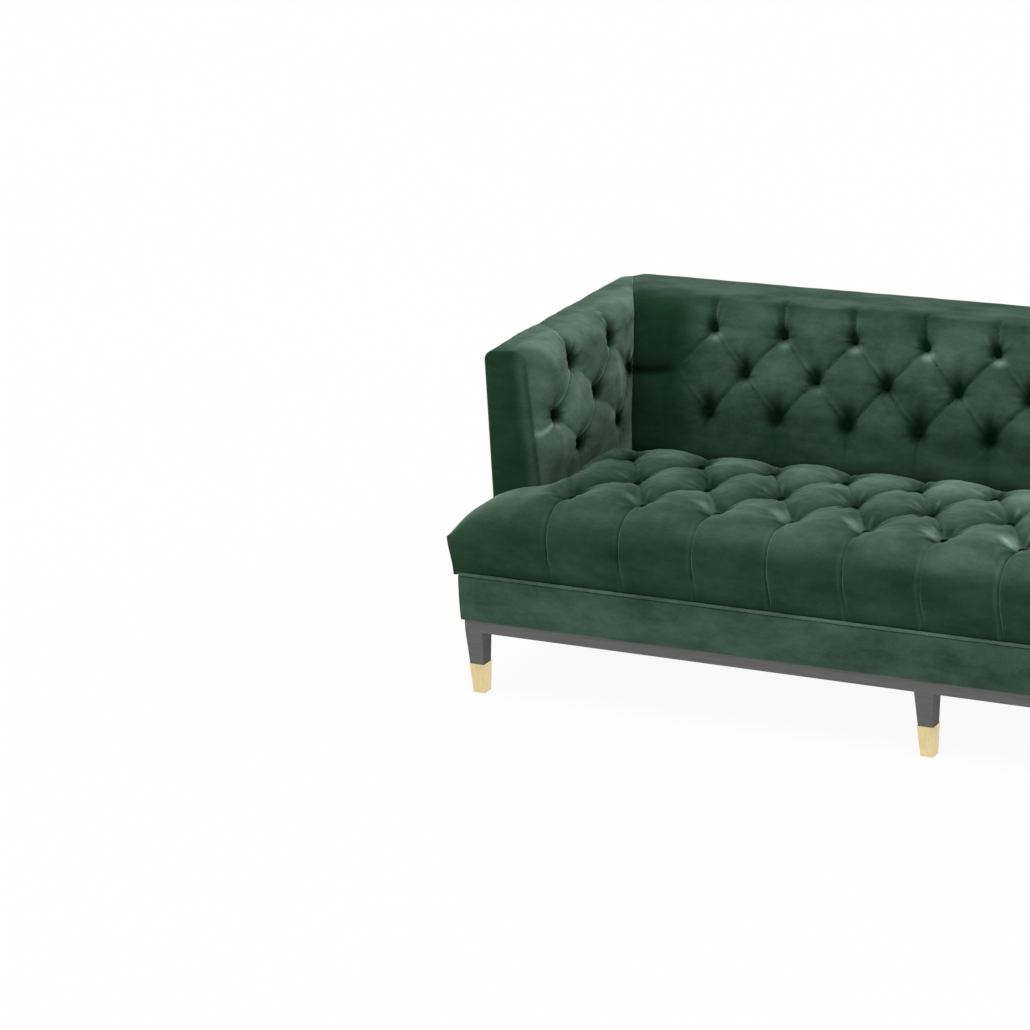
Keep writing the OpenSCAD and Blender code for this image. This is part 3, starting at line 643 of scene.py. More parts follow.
def facing_edge(w, d, z, turn):
    """Points of the arm front's outline that the edge of the arm's skin meets, one for each."""
    top = facing_hi.z - 0.0008
    x0 = facing_side(top - FACING_R) + SKIN_GAP
    a = QUARTER + (turn - QUARTER) / (1.0 - w.lean / QUARTER)
    x = x0 + FACING_R + FACING_R * np.cos(a)
    up = top - FACING_R + FACING_R * np.sin(a)
    rim_d = w.outer - w.rim
    share = (d - w.roll_centre) / (rim_d - w.roll_centre)
    x = np.where(np.abs(turn - QUARTER) < TINY, mix(x0 + FACING_R, rim_d, share), x)
    on_side = turn > pi - w.lean - TINY
    outer = turn < QUARTER - TINY
    x = np.where(on_side, facing_side(z) + SKIN_GAP, np.where(outer, d, x))
    up = np.where(on_side, z, np.where(outer, z + top - TOP_H, up))
    return x, crowned(x, up, x0, w.outer, top)


def carried(w, other, at, d, z):
    """Carries points of the side view from the station at = (t, f) towards the mitre with the
    other wall, which they reach as f goes from 0 to 1, and round the rear corner on the way."""
    t, f = at
    share = (d - inside(w, z)) / (w.outer - inside(w, z))
    end = mix(inside(other, z), other.outer - CORNER_IN, share) - MITRE_GAP
    past = max(0.0, mix(t, other.outer - CORNER_IN, f) - other.outer + CORNER_R)
    bow = CORNER_R - sqrt(CORNER_R ** 2 - past ** 2)
    return mix(t, end, f), d - bow * np.maximum(0.0, share)


def wall_cloth(w, other, at, here, turn, s):
    """Height of a wall's skin over its side view at one station, its painted fold shade and its
    nap, partly the pile's lie and partly painted sheen.
    """
    t, f = at
    lead = mix(0.026 * smooth(-s / 0.11), 0.09 * smooth((w.roll_start - s) / 0.15), w.over)
    value, relief, depth, shine = tufting(here - w.first - lead, s, w.spec)
    off_end = smooth(np.maximum(w.ends[0] - here, here - w.ends[1]) / END_FADE)
    fade = np.maximum(off_end, (1.0 - w.over) * smooth((-s - 0.065) / 0.04))
    value = mix(value, 0.75, fade)
    relief = relief * (1.0 - fade) + 0.0006 * ripple(here, s, w.spec.seed + 11, 0.14)
    rise = w.puff * np.minimum(1.0, 0.3 + 0.7 * smooth((WALL_FOOT - s) / ROW_STEP))
    rise = mix(rise, TOP_CROWN, smooth(-s / (max(w.roll) + INNER_ROLL - w.roll_start)))
    rise = np.where(turn < 1.4, TOP_CROWN * 0.5 * turn / QUARTER, rise)
    ease = 1.0 - 0.8 * f * smooth((s + 0.05) / 0.05)
    p = rise * value * ease + relief * smooth(turn / 0.5)
    # The seam at the mitre, and the foot that the seat presses in
    to_seam = (1.0 - f) * (inside(other, TOP_H) - t)
    p = p - 0.004 * bell(to_seam, 0.009) * smooth((0.05 - s) / 0.05)
    lowest = smooth((s - WALL_FOOT) / 0.04)
    p = mix(p, FOOT_PRESS - FOOT_PULL * smooth((s - WALL_FOOT - 0.06) / 0.024), lowest)
    # Painted shade at the foot that the seat presses in.
    depth = np.maximum(depth * (1.0 - fade), 0.8 * lowest)
    if w.crease is not None:
        move, shade = w.crease(here, s)
        p = p + move
        depth = np.maximum(depth, shade)
    # Nap: paler on the crowns, the plain ends and the top, partly the pile's lie and partly
    # painted sheen; less near the open front edge, as painted shade where the arm meets its
    # front; painted highlights added last.
    plain_nap, puff_nap, foot_nap, top_nap = w.nap
    low = smooth((s - ROW_STEP) / (1.4 * ROW_STEP))
    on_top = smooth((-s - mix(0.02, 0.03, w.over)) / mix(0.06, 0.09, w.over))
    nap = mix(puff_nap, foot_nap, low) * np.clip(1.25 * value - 0.25, 0.0, 1.0)
    plain_nap = plain_nap * mix(1.0, 1.2, smooth((here - w.ends[1]) / 0.05))
    nap = mix(nap, plain_nap, off_end) * mix(1.0, 0.75, smooth(-s / 0.03))
    nap = mix(nap, top_nap, on_top) * mix(0.35, 1.0, smooth((t - w.front) / 0.055))
    return p, depth, nap + shine * (1.0 - np.maximum(fade, on_top))


def wall_ring(w, other, at):
    """One closed ring of a wall: the skin, and the flat back behind it."""
    d, z, turn, s = wall_view(w)
    p, depth, nap = wall_cloth(w, other, at, carried(w, other, at, d, z)[0], turn, s)
    skin_d = d + p * np.cos(turn)
    skin_z = z + p * np.sin(turn)
    share = 1.0 - round_drop(1.0 - np.clip((at[0] - w.front) / EDGE_ROLL, 0.0, 1.0))
    if share < 1.0:
        edge_d, edge_z = facing_edge(w, d, z, turn)
        skin_d = mix(edge_d, skin_d, share)
        skin_z = mix(edge_z, skin_z, share)
    foot = inside(w, WALL_BOTTOM)
    lip = mix(foot + SLAB_T - MITRE_GAP, foot - SKIN_GAP, share)
    back_d = [w.outer - 0.02, inside(w, RIM_Z) + SLAB_T, foot + SLAB_T, lip, lip]
    back_z = [RIM_Z, RIM_Z, WALL_BOTTOM, WALL_BOTTOM, WALL_BOTTOM - LIP_H]
    ring = np.zeros((len(d) + len(back_d), 5))
    ring[:, 2] = np.append(skin_z, back_z)
    ring[:, :2] = np.transpose(carried(w, other, at, np.append(skin_d, back_d), ring[:, 2]))
    ring[:len(d), 3:] = np.transpose([depth, nap])
    return ring


BACK_PITCH = 0.176
BACK_COLS = 5
BACK_LAST = (BACK_COLS - 0.5) * BACK_PITCH
ARM_PITCH = 0.194
ARM_FIRST = ARM_FRONT_Y + 0.056 + ARM_PITCH / 2.0
BACK_SPEC = tuft_spec(
    pitch=BACK_PITCH, row=ROW_STEP, seed=2.0, round=(0.5, 0.45, 0.4), fold=(0.12, 0.40, 0.3),
    pit_r=0.0145, pit_power=1.3, hang=(0.5, 1.25), wide=(0.85, 1.0, 1.35), crease_w=0.0034,
    crease=(0.0090, 0.0060, 0.0015), bias=0.45, twin=0.0038, lip=0.0020, far=0.65, far_at=0.06,
    gather=(0.0017, 0.0013, 0.0006), gather_at=0.017, uneven=0.10, slack=0.0010, glint=0.02,
    ridge=0.04, spot=(-0.010, 0.018, 0.014), shine=(0.20, 0.05, 0.0))
ARM_SPEC = tuft_spec(
    pitch=ARM_PITCH, row=ROW_STEP, seed=5.0, round=(0.3, 0.42, 0.3), fold=(0.42, 0.26, 0.3),
    pit_r=0.019, pit_power=1.6, hang=(0.75, 1.15), crease_w=0.003,
    crease=(0.0035, 0.0026, 0.0016), bias=0.9, lip=0.0014, far=0.4, far_at=0.045,
    gather=(0.0014,) * 3, gather_at=0.018, uneven=0.08, slack=0.0009, glint=0.04, ridge=0.36,
    spot=(-0.006, 0.020, 0.012), shine=(0.12, 0.20, 0.14))


def corner_crease(here, s):
    """Level crease that runs from the corner to the first buttons, in line with row 1: how far
    it sinks and the shade painted into it.
    """
    line = ROW_STEP + 0.012 * smooth((here - 0.84) / 0.16)
    deep = bell(s - line, 0.017) * smooth((here - 0.84) / 0.08)
    return -0.0060 * deep, 0.95 * deep


BACK = wall(BACK_DEPTH, 17.0, REAR_Y, spec=BACK_SPEC, puff=0.022, roll=(0.100, 0.044),
            nap=(0.0, 0.076, 0.030, 0.0), over=0.0, first=BACK_PITCH / 2.0,
            ends=(-BACK_LAST, BACK_LAST), front=-inf, crease=corner_crease,
            sink=(0.0, 0.0, 0.0045))
ARM = wall(ARM_DEPTH, 4.0, HALF_W, spec=ARM_SPEC, puff=0.030, roll=(0.056, 0.044),
           nap=(0.36, 0.20, 0.23, 0.05), over=1.0, first=ARM_FIRST,
           ends=(ARM_FIRST - ARM_PITCH / 2.0, ARM_FIRST + 1.5 * ARM_PITCH), front=ARM_START,
           crease=None, sink=(0.0, 0.0, 0.0))


def mitre_stations(t, other_outer, steps):
    """Stations from t round the rear corner to the mitre."""
    bend = (other_outer - CORNER_R - t) / (other_outer - CORNER_IN - t)
    shares = [*np.linspace(0.0, bend, steps)[1:], *np.linspace(bend, 1.0, 8)[1:]]
    return [(t, f) for f in shares]


def build_back():
    edge = (BACK_COLS + 0.15) * BACK_PITCH
    half = [(t, 0.0) for t in samples(0.0, edge, BACK_PITCH / 36.0)]
    half += mitre_stations(edge, HALF_W, 22)
    right = np.array([wall_ring(BACK, ARM, at) for at in half])
    left = right[:0:-1] * (-1.0, 1.0, 1.0, 1.0, 1.0)
    made = loft("back_cushion", np.concatenate([left, right]))
    finished(made, "back_pad", VELVET)


def build_arms():
    edge = ARM_FIRST + ARM_PITCH
    stations = [(ARM_START + EDGE_ROLL * f * f, 0.0) for f in np.linspace(0.0, 0.9, 10)]
    stations += [(t, 0.0) for t in samples(ARM_START + EDGE_ROLL, edge, ARM_PITCH / 38.0)]
    stations += mitre_stations(edge, REAR_Y, 14)
    rings = np.array([wall_ring(ARM, BACK, at) for at in stations])
    finished_pair(loft("right_arm_cushion", rings[..., [1, 0, 2, 3, 4]]), "right_arm_pad")


# Seat: its side view runs from the seam up the front, over the roll and back to the crevice

SEAT_PITCH = 0.180
SEAT_ROW = 0.144
SEAT_PUFF = 0.034
FACE_RISE = 0.7 * SEAT_PUFF
SEAT_ROLL = 0.070
SEAT_DROP = 0.055
DROP_START = 0.022
DROP_SHARE = 0.52
END_TUCK = 0.005
SEAT_Y = button_lo.y + BUTTON_R
SEAT_H = button_lo.z - 0.002
SEAT_BOTTOM = seat_lo.z
SEAT_BACK_Y = seat_hi.y
SEAT_LAST = button_hi.x - BUTTON_R
END_W = seat_hi.x - SEAT_LAST
CROWN_Y = seat_lo.y
FACE_Y = CROWN_Y + FACE_RISE
FACE_H = SEAT_H - SEAT_ROLL - SEAT_BOTTOM
ROLL_ARC = QUARTER * SEAT_ROLL
SEAT_FLAT = SEAT_Y - FACE_Y - SEAT_ROLL
ROLL_S = -SEAT_FLAT - ROLL_ARC
SEAT_START = ROLL_S - FACE_H
SEAT_SPAN = (TUFT_ROWS - 1) * SEAT_ROW
SEAT_TAIL = SEAT_BACK_Y - SEAT_Y - SEAT_SPAN
SEAT_IN = inside(ARM, 0.0) - 0.4 * ARM.puff
EDGE_IN = facing_side(0.0)
CUT_Y = ARM_FRONT_Y - GAP
SEAT_STEP = 0.0048
FACE_STEP = 0.006
POCKET_STEPS = 11
EAR_STEPS = 44
BACK_STEPS = 8
PRESS_R = 0.024
FRONT_S = np.concatenate([samples(SEAT_START, ROLL_S, FACE_STEP)[:-1],
                          samples(ROLL_S, 0.0, SEAT_STEP)[:-1],
                          samples(0.0, CUT_Y - SEAT_Y, SEAT_STEP)])
REAR_S = samples(CUT_Y - SEAT_Y, SEAT_SPAN + SEAT_TAIL, SEAT_STEP)[1:]
# How far in and how far down the hem under the front lies
HEM = ((0.0079, 0.0), (0.0078, 0.0058), (0.0050, 0.0070), (0.0015, 0.0050))
SEAT_SPEC = tuft_spec(
    pitch=SEAT_PITCH, row=SEAT_ROW, seed=1.0, wobble=0.003, round=(0.16, 0.5, 0.4),
    fold=(0.24, 0.56, 0.32), settle=(0.10, 0.75), pit_r=0.024, pit_power=1.4, hang=(0.55, 1.0),
    crease_w=0.0036, crease=(0.0052, 0.0036, 0.003), bias=0.9, lip_w=0.009, lip=0.0018,
    far=0.75, far_at=0.07, gather=(0.0019,) * 3, gather_at=0.022, uneven=0.07, slack=0.0009,
    glint=0.05, ridge=0.028, spot=(-0.018, 0.000, 0.025), shine=(0.46, 0.24, 0.10))


def end_share(x):
    """Share of the way from the last buttons to the seat's end."""
    return np.clip((np.abs(x) - SEAT_LAST) / END_W, 0.0, 1.0)


def tucked(x, z):
    """Draws the seat's ends in a little below."""
    low = 1.0 - smooth((z - SEAT_BOTTOM) / FACE_H)
    return x - np.sign(x) * END_TUCK * end_share(x) * low


def seat_nap_and_painted_sheen(x, s, value, shine, fade, rolled):
    """How pale the seat's pile is painted, partly the pile's lie and partly painted sheen:
    palest on the rear crowns and in the middle, paler towards +X as painted light from that
    side, with the painted highlights added.
    """
    middle = 1.0 - smooth((np.abs(x) - 0.35) / 0.6)
    middle = middle * mix(0.65, 2.4, smooth((x + 0.3) / 0.8))
    nap = mix(0.010, mix(0.035, 0.060, middle), smooth((rolled - 0.15) / 0.5))
    rear = smooth((s - SEAT_SPAN + 0.16) / 0.14)
    nap = nap + 0.07 * rear * mix(0.8, 1.5, smooth((x + 0.4) / 0.7))
    nap = nap * mix(np.clip(1.2 * value - 0.2, 0.0, 1.0), 1.0, fade)
    return nap + shine * (1.0 - fade) * mix(0.4, 1.0, np.minimum(middle, 1.3))


def seat_surface(x, s):
    """Points of the seat's skin, as rows of x, y, z, painted fold shade and nap, partly the
    pile's lie and partly painted sheen.
    """
    x, s = np.broadcast_arrays(x, s)
    turn = QUARTER + np.clip((-s - SEAT_FLAT) / SEAT_ROLL, 0.0, QUARTER)
    y = FACE_Y + SEAT_ROLL * (1.0 + np.cos(turn)) + np.maximum(s + SEAT_FLAT, 0.0)
    drop = SEAT_DROP * smooth((s - SEAT_SPAN - DROP_START) / (DROP_SHARE * SEAT_TAIL))
    z = SEAT_H - SEAT_ROLL * (1.0 - np.sin(turn)) + np.minimum(s - ROLL_S, 0.0) - drop
    value, relief, depth, shine = tufting(x, s, SEAT_SPEC)
    fade = smooth((np.abs(x) - SEAT_LAST) / END_FADE)
    rolled = np.clip((s - ROLL_S) / ROLL_ARC, 0.0, 1.0)
    value = mix(value, mix(1.0, 0.5, smooth(rolled)), fade)
    relief = mix(relief, 0.0009 * ripple(x, s, 9.0, 0.16), fade)
    rise = mix(FACE_RISE, SEAT_PUFF, smooth(rolled))
    rise = rise * (0.15 + 0.85 * smooth((s - SEAT_START) / FACE_H))
    rise = rise * (1.0 - 0.22 * smooth((s - SEAT_SPAN + 0.06) / 0.07))
    rise = rise * (1.0 - 0.4 * smooth((s - SEAT_SPAN - 0.03) / SEAT_TAIL))
    q = end_share(x)
    p = rise * value + relief * smooth((s - SEAT_START) / 0.02) * (1.0 - q ** 4)
    y = y + p * np.cos(turn)
    z = z + p * np.sin(turn)
    # Towards the end the section turns into a box with rounded edges
    in_roll = (s < -SEAT_FLAT) & (s > ROLL_S)
    forward = 0.5 * smooth(q * 2.0 - 1.0) * (s < -SEAT_FLAT)
    edge_y = np.where(in_roll, mix(CROWN_Y, FACE_Y + SEAT_ROLL, rolled),
                      mix(y, CROWN_Y, forward))
    edge_z = np.minimum(z, SEAT_H - SEAT_ROLL)
    g = round_drop(q)
    # Painted shade in the crevice at the back: dark fold shade and no pale nap.
    crevice = smooth((s - SEAT_SPAN - 0.055) / 0.05)
    nap = seat_nap_and_painted_sheen(x, s, value, shine, fade, rolled) * (1.0 - crevice)
    depth = np.maximum(depth * (1.0 - fade), 0.8 * crevice)
    return np.transpose([tucked(x, edge_z), mix(y, edge_y, g), mix(z, edge_z, g), depth, nap])


def pressed(skin):
    """Presses the seat's skin in where it meets the arms and the back."""
    x, y = skin.T[:2]
    near = np.hypot(np.maximum(SEAT_IN - np.abs(x), 0.0), np.maximum(CUT_Y - y, 0.0))
    near = np.minimum(near, np.maximum(SEAT_BACK_Y - y, 0.0))
    skin[:, 2] -= 0.5 * PRESS_R * round_drop(1.0 - np.clip(near / PRESS_R, 0.0, 1.0))
    return skin


def filled(x):
    """How far back the seat fills the nook between the arm front and the arm's roll."""
    share = min(1.0, (EDGE_IN - abs(x)) / (EDGE_IN - SEAT_IN))
    return ARM_START + EDGE_ROLL * round_drop(share) - SKIN_GAP if share > 0.0 else CUT_Y


def between_arms(x):
    """Skin behind the arm fronts, back to the crevice and down to the seat's underside."""
    skin = pressed(seat_surface(x, REAR_S))
    down = np.zeros((BACK_STEPS, 5))
    down[:, 0] = skin[-1, 0]
    down[:, 1] = SEAT_BACK_Y
    down[:, 2] = np.linspace(skin[-1, 2], SEAT_BOTTOM, BACK_STEPS + 1)[1:]
    return np.concatenate([skin, down])


def before_arm(x, top):
    """Rear side of the seat's end, flat against the arm front."""
    skin = np.zeros((len(REAR_S) + BACK_STEPS, 5))
    down = np.linspace(0.0, 1.0, len(skin) + 1)[1:]
    skin[:, 1] = mix(CUT_Y, filled(x), np.clip(down / 0.3, 0.0, 1.0))
    skin[:, 2] = mix(top, SEAT_BOTTOM, np.clip((down - 0.3) / 0.7, 0.0, 1.0) ** 1.3)
    skin[:, 0] = tucked(x, skin[:, 2])
    # Painted shade on the part that lies against the arm.
    skin[:, 3] = 0.45 if filled(x) > CUT_Y else 0.0
    return skin


def build_seat():
    turned = asin((EDGE_IN - SEAT_LAST) / END_W)
    half = np.concatenate([samples(0.0, SEAT_IN, SEAT_PITCH / 48.0),
                           np.linspace(SEAT_IN + GAP, EDGE_IN - 0.0004, POCKET_STEPS),
                           SEAT_LAST + END_W * np.sin(np.linspace(turned, QUARTER, EAR_STEPS))])
    rings = []
    for x in np.concatenate([-half[:0:-1], half]):
        front = pressed(seat_surface(x, FRONT_S))
        rear = between_arms(x) if abs(x) <= SEAT_IN else before_arm(x, front[-1, 2])
        # The hem under the front gets full painted shade.
        hem = [(front[0, 0], front[0, 1] + back, SEAT_BOTTOM - down, 1.0, 0.0)
               for back, down in HEM]
        rings.append(np.concatenate([hem, front, rear]))
    finished(loft("seat_cushion", rings, caps=2), "seat_pad", VELVET)


# Covered buttons

BUTTON_TURNS = 20
BUTTON_TOP = 0.0075
BUTTON_RINGS = ((0.25, 0.0073), (0.5, 0.0067), (0.75, 0.0054), (0.93, 0.0036), (1.0, 0.002),
                (0.96, 0.0004), (0.8, -0.001), (0.3, -0.002))
BUTTON_SINK = -0.0030


def build_buttons(name, node, places):
    """Domed buttons with a rolled rim, each standing along +Z of its place."""
    points = [(0.0, 0.0, BUTTON_TOP)]
    for share, up in BUTTON_RINGS:
        ring = arc(0.0, 0.0, BUTTON_R * share, 0, 360, BUTTON_TURNS)[:-1]
        points += [(x, y, up) for x, y, nx, ny in ring]
    faces = [[0, 1 + k, 1 + (k + 1) % BUTTON_TURNS] for k in range(BUTTON_TURNS)]
    sides = turned_over(grid_faces(len(BUTTON_RINGS), BUTTON_TURNS))
    faces += [[1 + v for v in face] for face in sides]
    faces.append(list(range(len(points) - BUTTON_TURNS, len(points)))[::-1])
    verts = [place @ Vector(p) for place in places for p in points]
    starts = range(0, len(verts), len(points))
    all_faces = [[start + v for v in face] for start in starts for face in faces]
    finished(outward(add_mesh(name, verts, all_faces)), node, BUTTON_VELVET_PAINTED_SHADE)


def seat_places():
    count = round(SEAT_LAST / SEAT_PITCH)
    places = []
    for k in range(TUFT_ROWS):
        for i in range(-count, count + 1 - k % 2):
            x, s = unwobbled((i + k % 2 / 2.0) * SEAT_PITCH, k * SEAT_ROW, SEAT_SPEC)
            places.append(Matrix.Translation((x, SEAT_Y + s, SEAT_H + BUTTON_SINK)))
    return places


def wall_place(w, along, s, row):
    """Matrix of a button on a wall: x is d, y is the run."""
    lift = BUTTON_SINK - w.sink[row]
    d = w.pit - s * sin(w.lean) - lift * cos(w.lean)
    z = ROW_H - s * cos(w.lean) - lift * sin(w.lean)
    return Matrix.Translation((d, along, z)) @ Matrix.Rotation(w.lean - QUARTER, 4, "Y")


def back_places():
    swap = Matrix(((0, 1, 0, 0), (1, 0, 0, 0), (0, 0, 1, 0), (0, 0, 0, 1)))
    places = []
    for k in range(TUFT_ROWS):
        for i in range(-BACK_COLS + k % 2, BACK_COLS):
            at = (i + (1 - k % 2) / 2.0) * BACK_PITCH
            x, s = unwobbled(abs(at) - BACK.first, k * ROW_STEP, BACK_SPEC)
            x = copysign(x + BACK.first, at) if at else 0.0
            places.append(swap @ wall_place(BACK, x, s, k))
    return places


def arm_places():
    places = []
    for k in range(TUFT_ROWS):
        for i in range(2 + k % 2):
            y, s = unwobbled((i - k % 2 / 2.0) * ARM_PITCH, k * ROW_STEP, ARM_SPEC)
            places.append(wall_place(ARM, ARM_FIRST + y, s, k))
    return places


# Plain upholstered pieces

EDGE_R = 0.004
PANEL_T = 0.018


def pad_section(thick, front, z0, z1, bulge, step=0.012):
    """Closed section of an upholstered board: flat behind, rounded and swollen in front."""
    out = front - EDGE_R
    points = [p[:2] for p in arc(out, z0 + EDGE_R, EDGE_R, -90, 0, 4)]
    for z in samples(z0 + EDGE_R, z1 - EDGE_R, step)[1:-1]:
        f = (z - z0) / (z1 - z0)
        points.append((front + bulge * (1.0 - (2.0 * f - 1.0) ** 2), z))
    points += [p[:2] for p in arc(out, z1 - EDGE_R, EDGE_R, 0, 90, 4)]
    return points + [(-thick, z1), (-thick, z0)]


def uneven(made, amount, size, seed):
    """Lets the cloth of a plain piece lie slightly uneven."""
    mesh = made.data
    co, no = np.zeros((2, len(mesh.vertices) * 3))
    mesh.vertices.foreach_get("co", co)
    mesh.vertices.foreach_get("normal", no)
    x, y, z = co.reshape(-1, 3).T
    wave = ripple(x + 0.6 * y, z + 0.3 * y, seed, size)
    mesh.vertices.foreach_set("co", co + no * np.repeat(amount * wave, 3))
    mesh.update()
    return made


def straight_path(start, end, normal, step=0.02):
    ts = samples(0.0, 1.0, step / dist(start, end))
    return [(mix(start[0], end[0], t), mix(start[1], end[1], t), *normal) for t in ts]


def build_outside():
    section = pad_section(PANEL_T, 0.0, side_lo.z, side_hi.z, 0.0012)
    path = straight_path((HALF_W, ARM_START), (HALF_W, REAR_Y - CORNER_R), (1.0, 0.0))
    path += arc(HALF_W - CORNER_R, REAR_Y - CORNER_R, CORNER_R, 0, 90, 12)[1:]
    right = uneven(swept("right_outside_cover", section, path, caps=1), 0.0005, 0.21, 3.0)
    finished_pair(right, "right_outside_panel")
    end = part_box("outside_back_panel")[1].x
    path = straight_path((end, REAR_Y), (-end, REAR_Y), (0.0, 1.0))
    rear = uneven(swept("outside_back_cover", section, path, caps=1), 0.0006, 0.27, 6.0)
    finished(rear, "outside_back_panel", VELVET)


def build_bands():
    thick = band_hi.y - band_lo.y
    section = pad_section(thick, -0.0008, band_lo.z, band_hi.z, 0.0012, 0.008)
    path = straight_path((-band_hi.x, band_lo.y), (band_hi.x, band_lo.y), (0.0, -1.0), 0.016)
    # Nap 0.045 paints the front band paler, partly the pile's lie and partly painted sheen; its
    # top edge gets painted shade.
    front = swept("front_band_cover", section, path, 0.045, band_hi.z - EDGE_R, caps=2,
                  bulge=0.0006)
    finished(uneven(front, 0.0005, 0.17, 1.0), "front_band", VELVET)
    lo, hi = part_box("right_band")
    path = straight_path((hi.x, lo.y), (hi.x, hi.y), (1.0, 0.0), 0.016)
    # Nap 0.03: partly the pile's lie, partly painted sheen.
    right = swept("right_band_cover", section, path, 0.03, caps=1)
    finished_pair(uneven(right, 0.0004, 0.15, 2.0), "right_band")


FACING_SEAM_Z = 0.612
FACING_FOOT_Z = 0.266
FACING_EDGE = 0.0095
FACING_SWELL = 0.0035
SIDE_STEPS = 96
CORNER_STEPS = 12
LEVEL_STEPS = 8
STRIP_T = 0.021


def close_slit(count):
    """Faces across the narrow last ring of the arm front, whose first points go up, whose next
    ones turn over and whose other points come down as far apart as they went up."""
    side = SIDE_STEPS
    top = 2 * CORNER_STEPS + LEVEL_STEPS
    faces = [[i, i + 1, 2 * side + top - i - 1, 2 * side + top - i] for i in range(side)]
    faces.append(list(range(side, side + top + 1)))
    faces.append([0] + list(range(2 * side + top, count)))
    return faces


def facing_outline(inset):
    """Rounded outline of the arm front, drawn in by `inset`."""
    z0 = FACING_FOOT_Z + inset
    z1 = facing_hi.z - inset
    x0 = facing_side(facing_hi.z - FACING_R) + inset
    x1 = facing_hi.x - inset
    ri = max(FACING_R - inset, 0.0)
    ro = max(OUTER_ROLL - inset, 0.0)
    points = [(x1, z) for z in np.linspace(z0, z1 - ro, SIDE_STEPS + 1)[:-1]]
    points += [p[:2] for p in arc(x1 - ro, z1 - ro, ro, 0, 90, CORNER_STEPS)[:-1]]
    points += [(x, z1) for x in np.linspace(x1 - ro, x0 + ri, LEVEL_STEPS + 1)[:-1]]
    points += [p[:2] for p in arc(x0 + ri, z1 - ri, ri, 90, 180, CORNER_STEPS)[:-1]]
    for z in np.linspace(z1 - ri, z0, SIDE_STEPS + 1)[:-1]:
        points.append((facing_side(z) + inset, z))
    foot = np.linspace(facing_side(z0) + inset, x1, LEVEL_STEPS + 1)[:-1]
    x, z = np.array(points + [(x, z0) for x in foot]).T
    return x, crowned(x, z, x0, x1, z1)


def build_facings():
    front = facing_lo.y
    edge = FACING_EDGE
    middle = (facing_lo.x + facing_hi.x) / 2.0
    half = (facing_hi.x - facing_side(facing_hi.z)) / 2.0
    levels = [(0.0, facing_hi.y)]
    for a in np.linspace(0.0, QUARTER, 7):
        levels.append((edge * (1.0 - cos(a)), front + edge * (1.0 - sin(a))))
    for f in (0.08, 0.2, 0.35, 0.5, 0.65, 0.8, 0.92, 1.0):
        inset = mix(edge, half - 0.0005, f)
        swell = 1.0 - (1.0 - (inset - edge) / (half - edge)) ** 2
        levels.append((inset, front - FACING_SWELL * swell))
    rings = []
    for inset, y in levels:
        x, z = facing_outline(inset)
        seam = FACING_SEAM_Z - 0.10 * (x - middle) ** 2 / half
        deep = 0.4 * bell(z - seam, 0.0045)
        share = smooth(inset / edge)
        shift = 0.0045 * deep - 0.0012 * bell(z - seam, 0.03) + 0.0006 * ripple(x, z, 4.0, 0.12)
        # Painted shade in the seam's crease and on the rounded rim, and a little painted sheen
        # towards the inner edge.
        fold = np.maximum(0.9 * deep * share, 0.15 if inset < 0.4 * edge else 0.0)
        nap = 0.05 * (1.0 - smooth((x - facing_side(z)) / 0.035))
        rings.append(np.transpose([x, y + shift * share, z, fold, nap]))
    right = loft("right_arm_front", rings, close=close_slit(len(x)))
    finished_pair(right, "right_arm_facing")
    section = pad_section(STRIP_T, 0.0, side_lo.z, FACING_FOOT_Z - GAP, 0.0008)
    path = straight_path((HALF_W, front + 0.0005), (HALF_W, facing_hi.y), (1.0, 0.0), 0.004)
    strip = swept("right_arm_front_foot", section, path, caps=1)
    finished_pair(strip, "right_arm_facing")


def build_welt():
    r = 0.0036
    bend = 0.006
    z = (welt_hi.z + welt_lo.z) / 2.0 + 0.0002
    x = welt_hi.x - r + 0.004
    y = welt_lo.y + r + 0.0012
    side = samples(welt_hi.y, y + bend, 0.01)
    path = [(x, t, 1.0, 0.0) for t in side]
    path += arc(x - bend, y + bend, bend, 0, -90, 8)[1:]
    path += [(t, y, 0.0, -1.0) for t in samples(x - bend, bend - x, 0.01)[1:]]
    path += arc(bend - x, y + bend, bend, -90, -180, 8)[1:]
    path += [(-x, t, -1.0, 0.0) for t in side[-2::-1]]
    section = [p[:2] for p in arc(0.0, z, r, 0, 360, 12)[:-1]]
    # Nap 0.085 paints the piping pale, partly the pile's lie and partly painted sheen.
    made = uneven(swept("seat_piping", section, path, 0.085, caps=1), 0.0003, 0.05, 8.0)
    finished(made, "seat_welt", VELVET)


# Inside and below


def build_dust_cover():
    lo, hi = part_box("dust_cover")
    xs = samples(lo.x, hi.x, 0.02)
    ys = samples(lo.y, hi.y, 0.02)
    x, y = np.meshgrid(xs, ys, indexing="ij")
    edge = np.minimum(np.minimum(x - lo.x, hi.x - x), np.minimum(y - lo.y, hi.y - y))
    z = hi.z - 0.0004 - 0.003 * smooth(edge / 0.25)
    z = z - 0.0004 * ripple(x, y, 3.0, 0.16) * smooth(edge / 0.04)
    points = np.stack([x, y, z], axis=-1).reshape(-1, 3)
    faces = turned_over(grid_faces(len(xs), len(ys), closed=False))
    made = add_mesh("dust_cloth", points, faces)
    finished(made, "dust_cover", DUST_CLOTH)


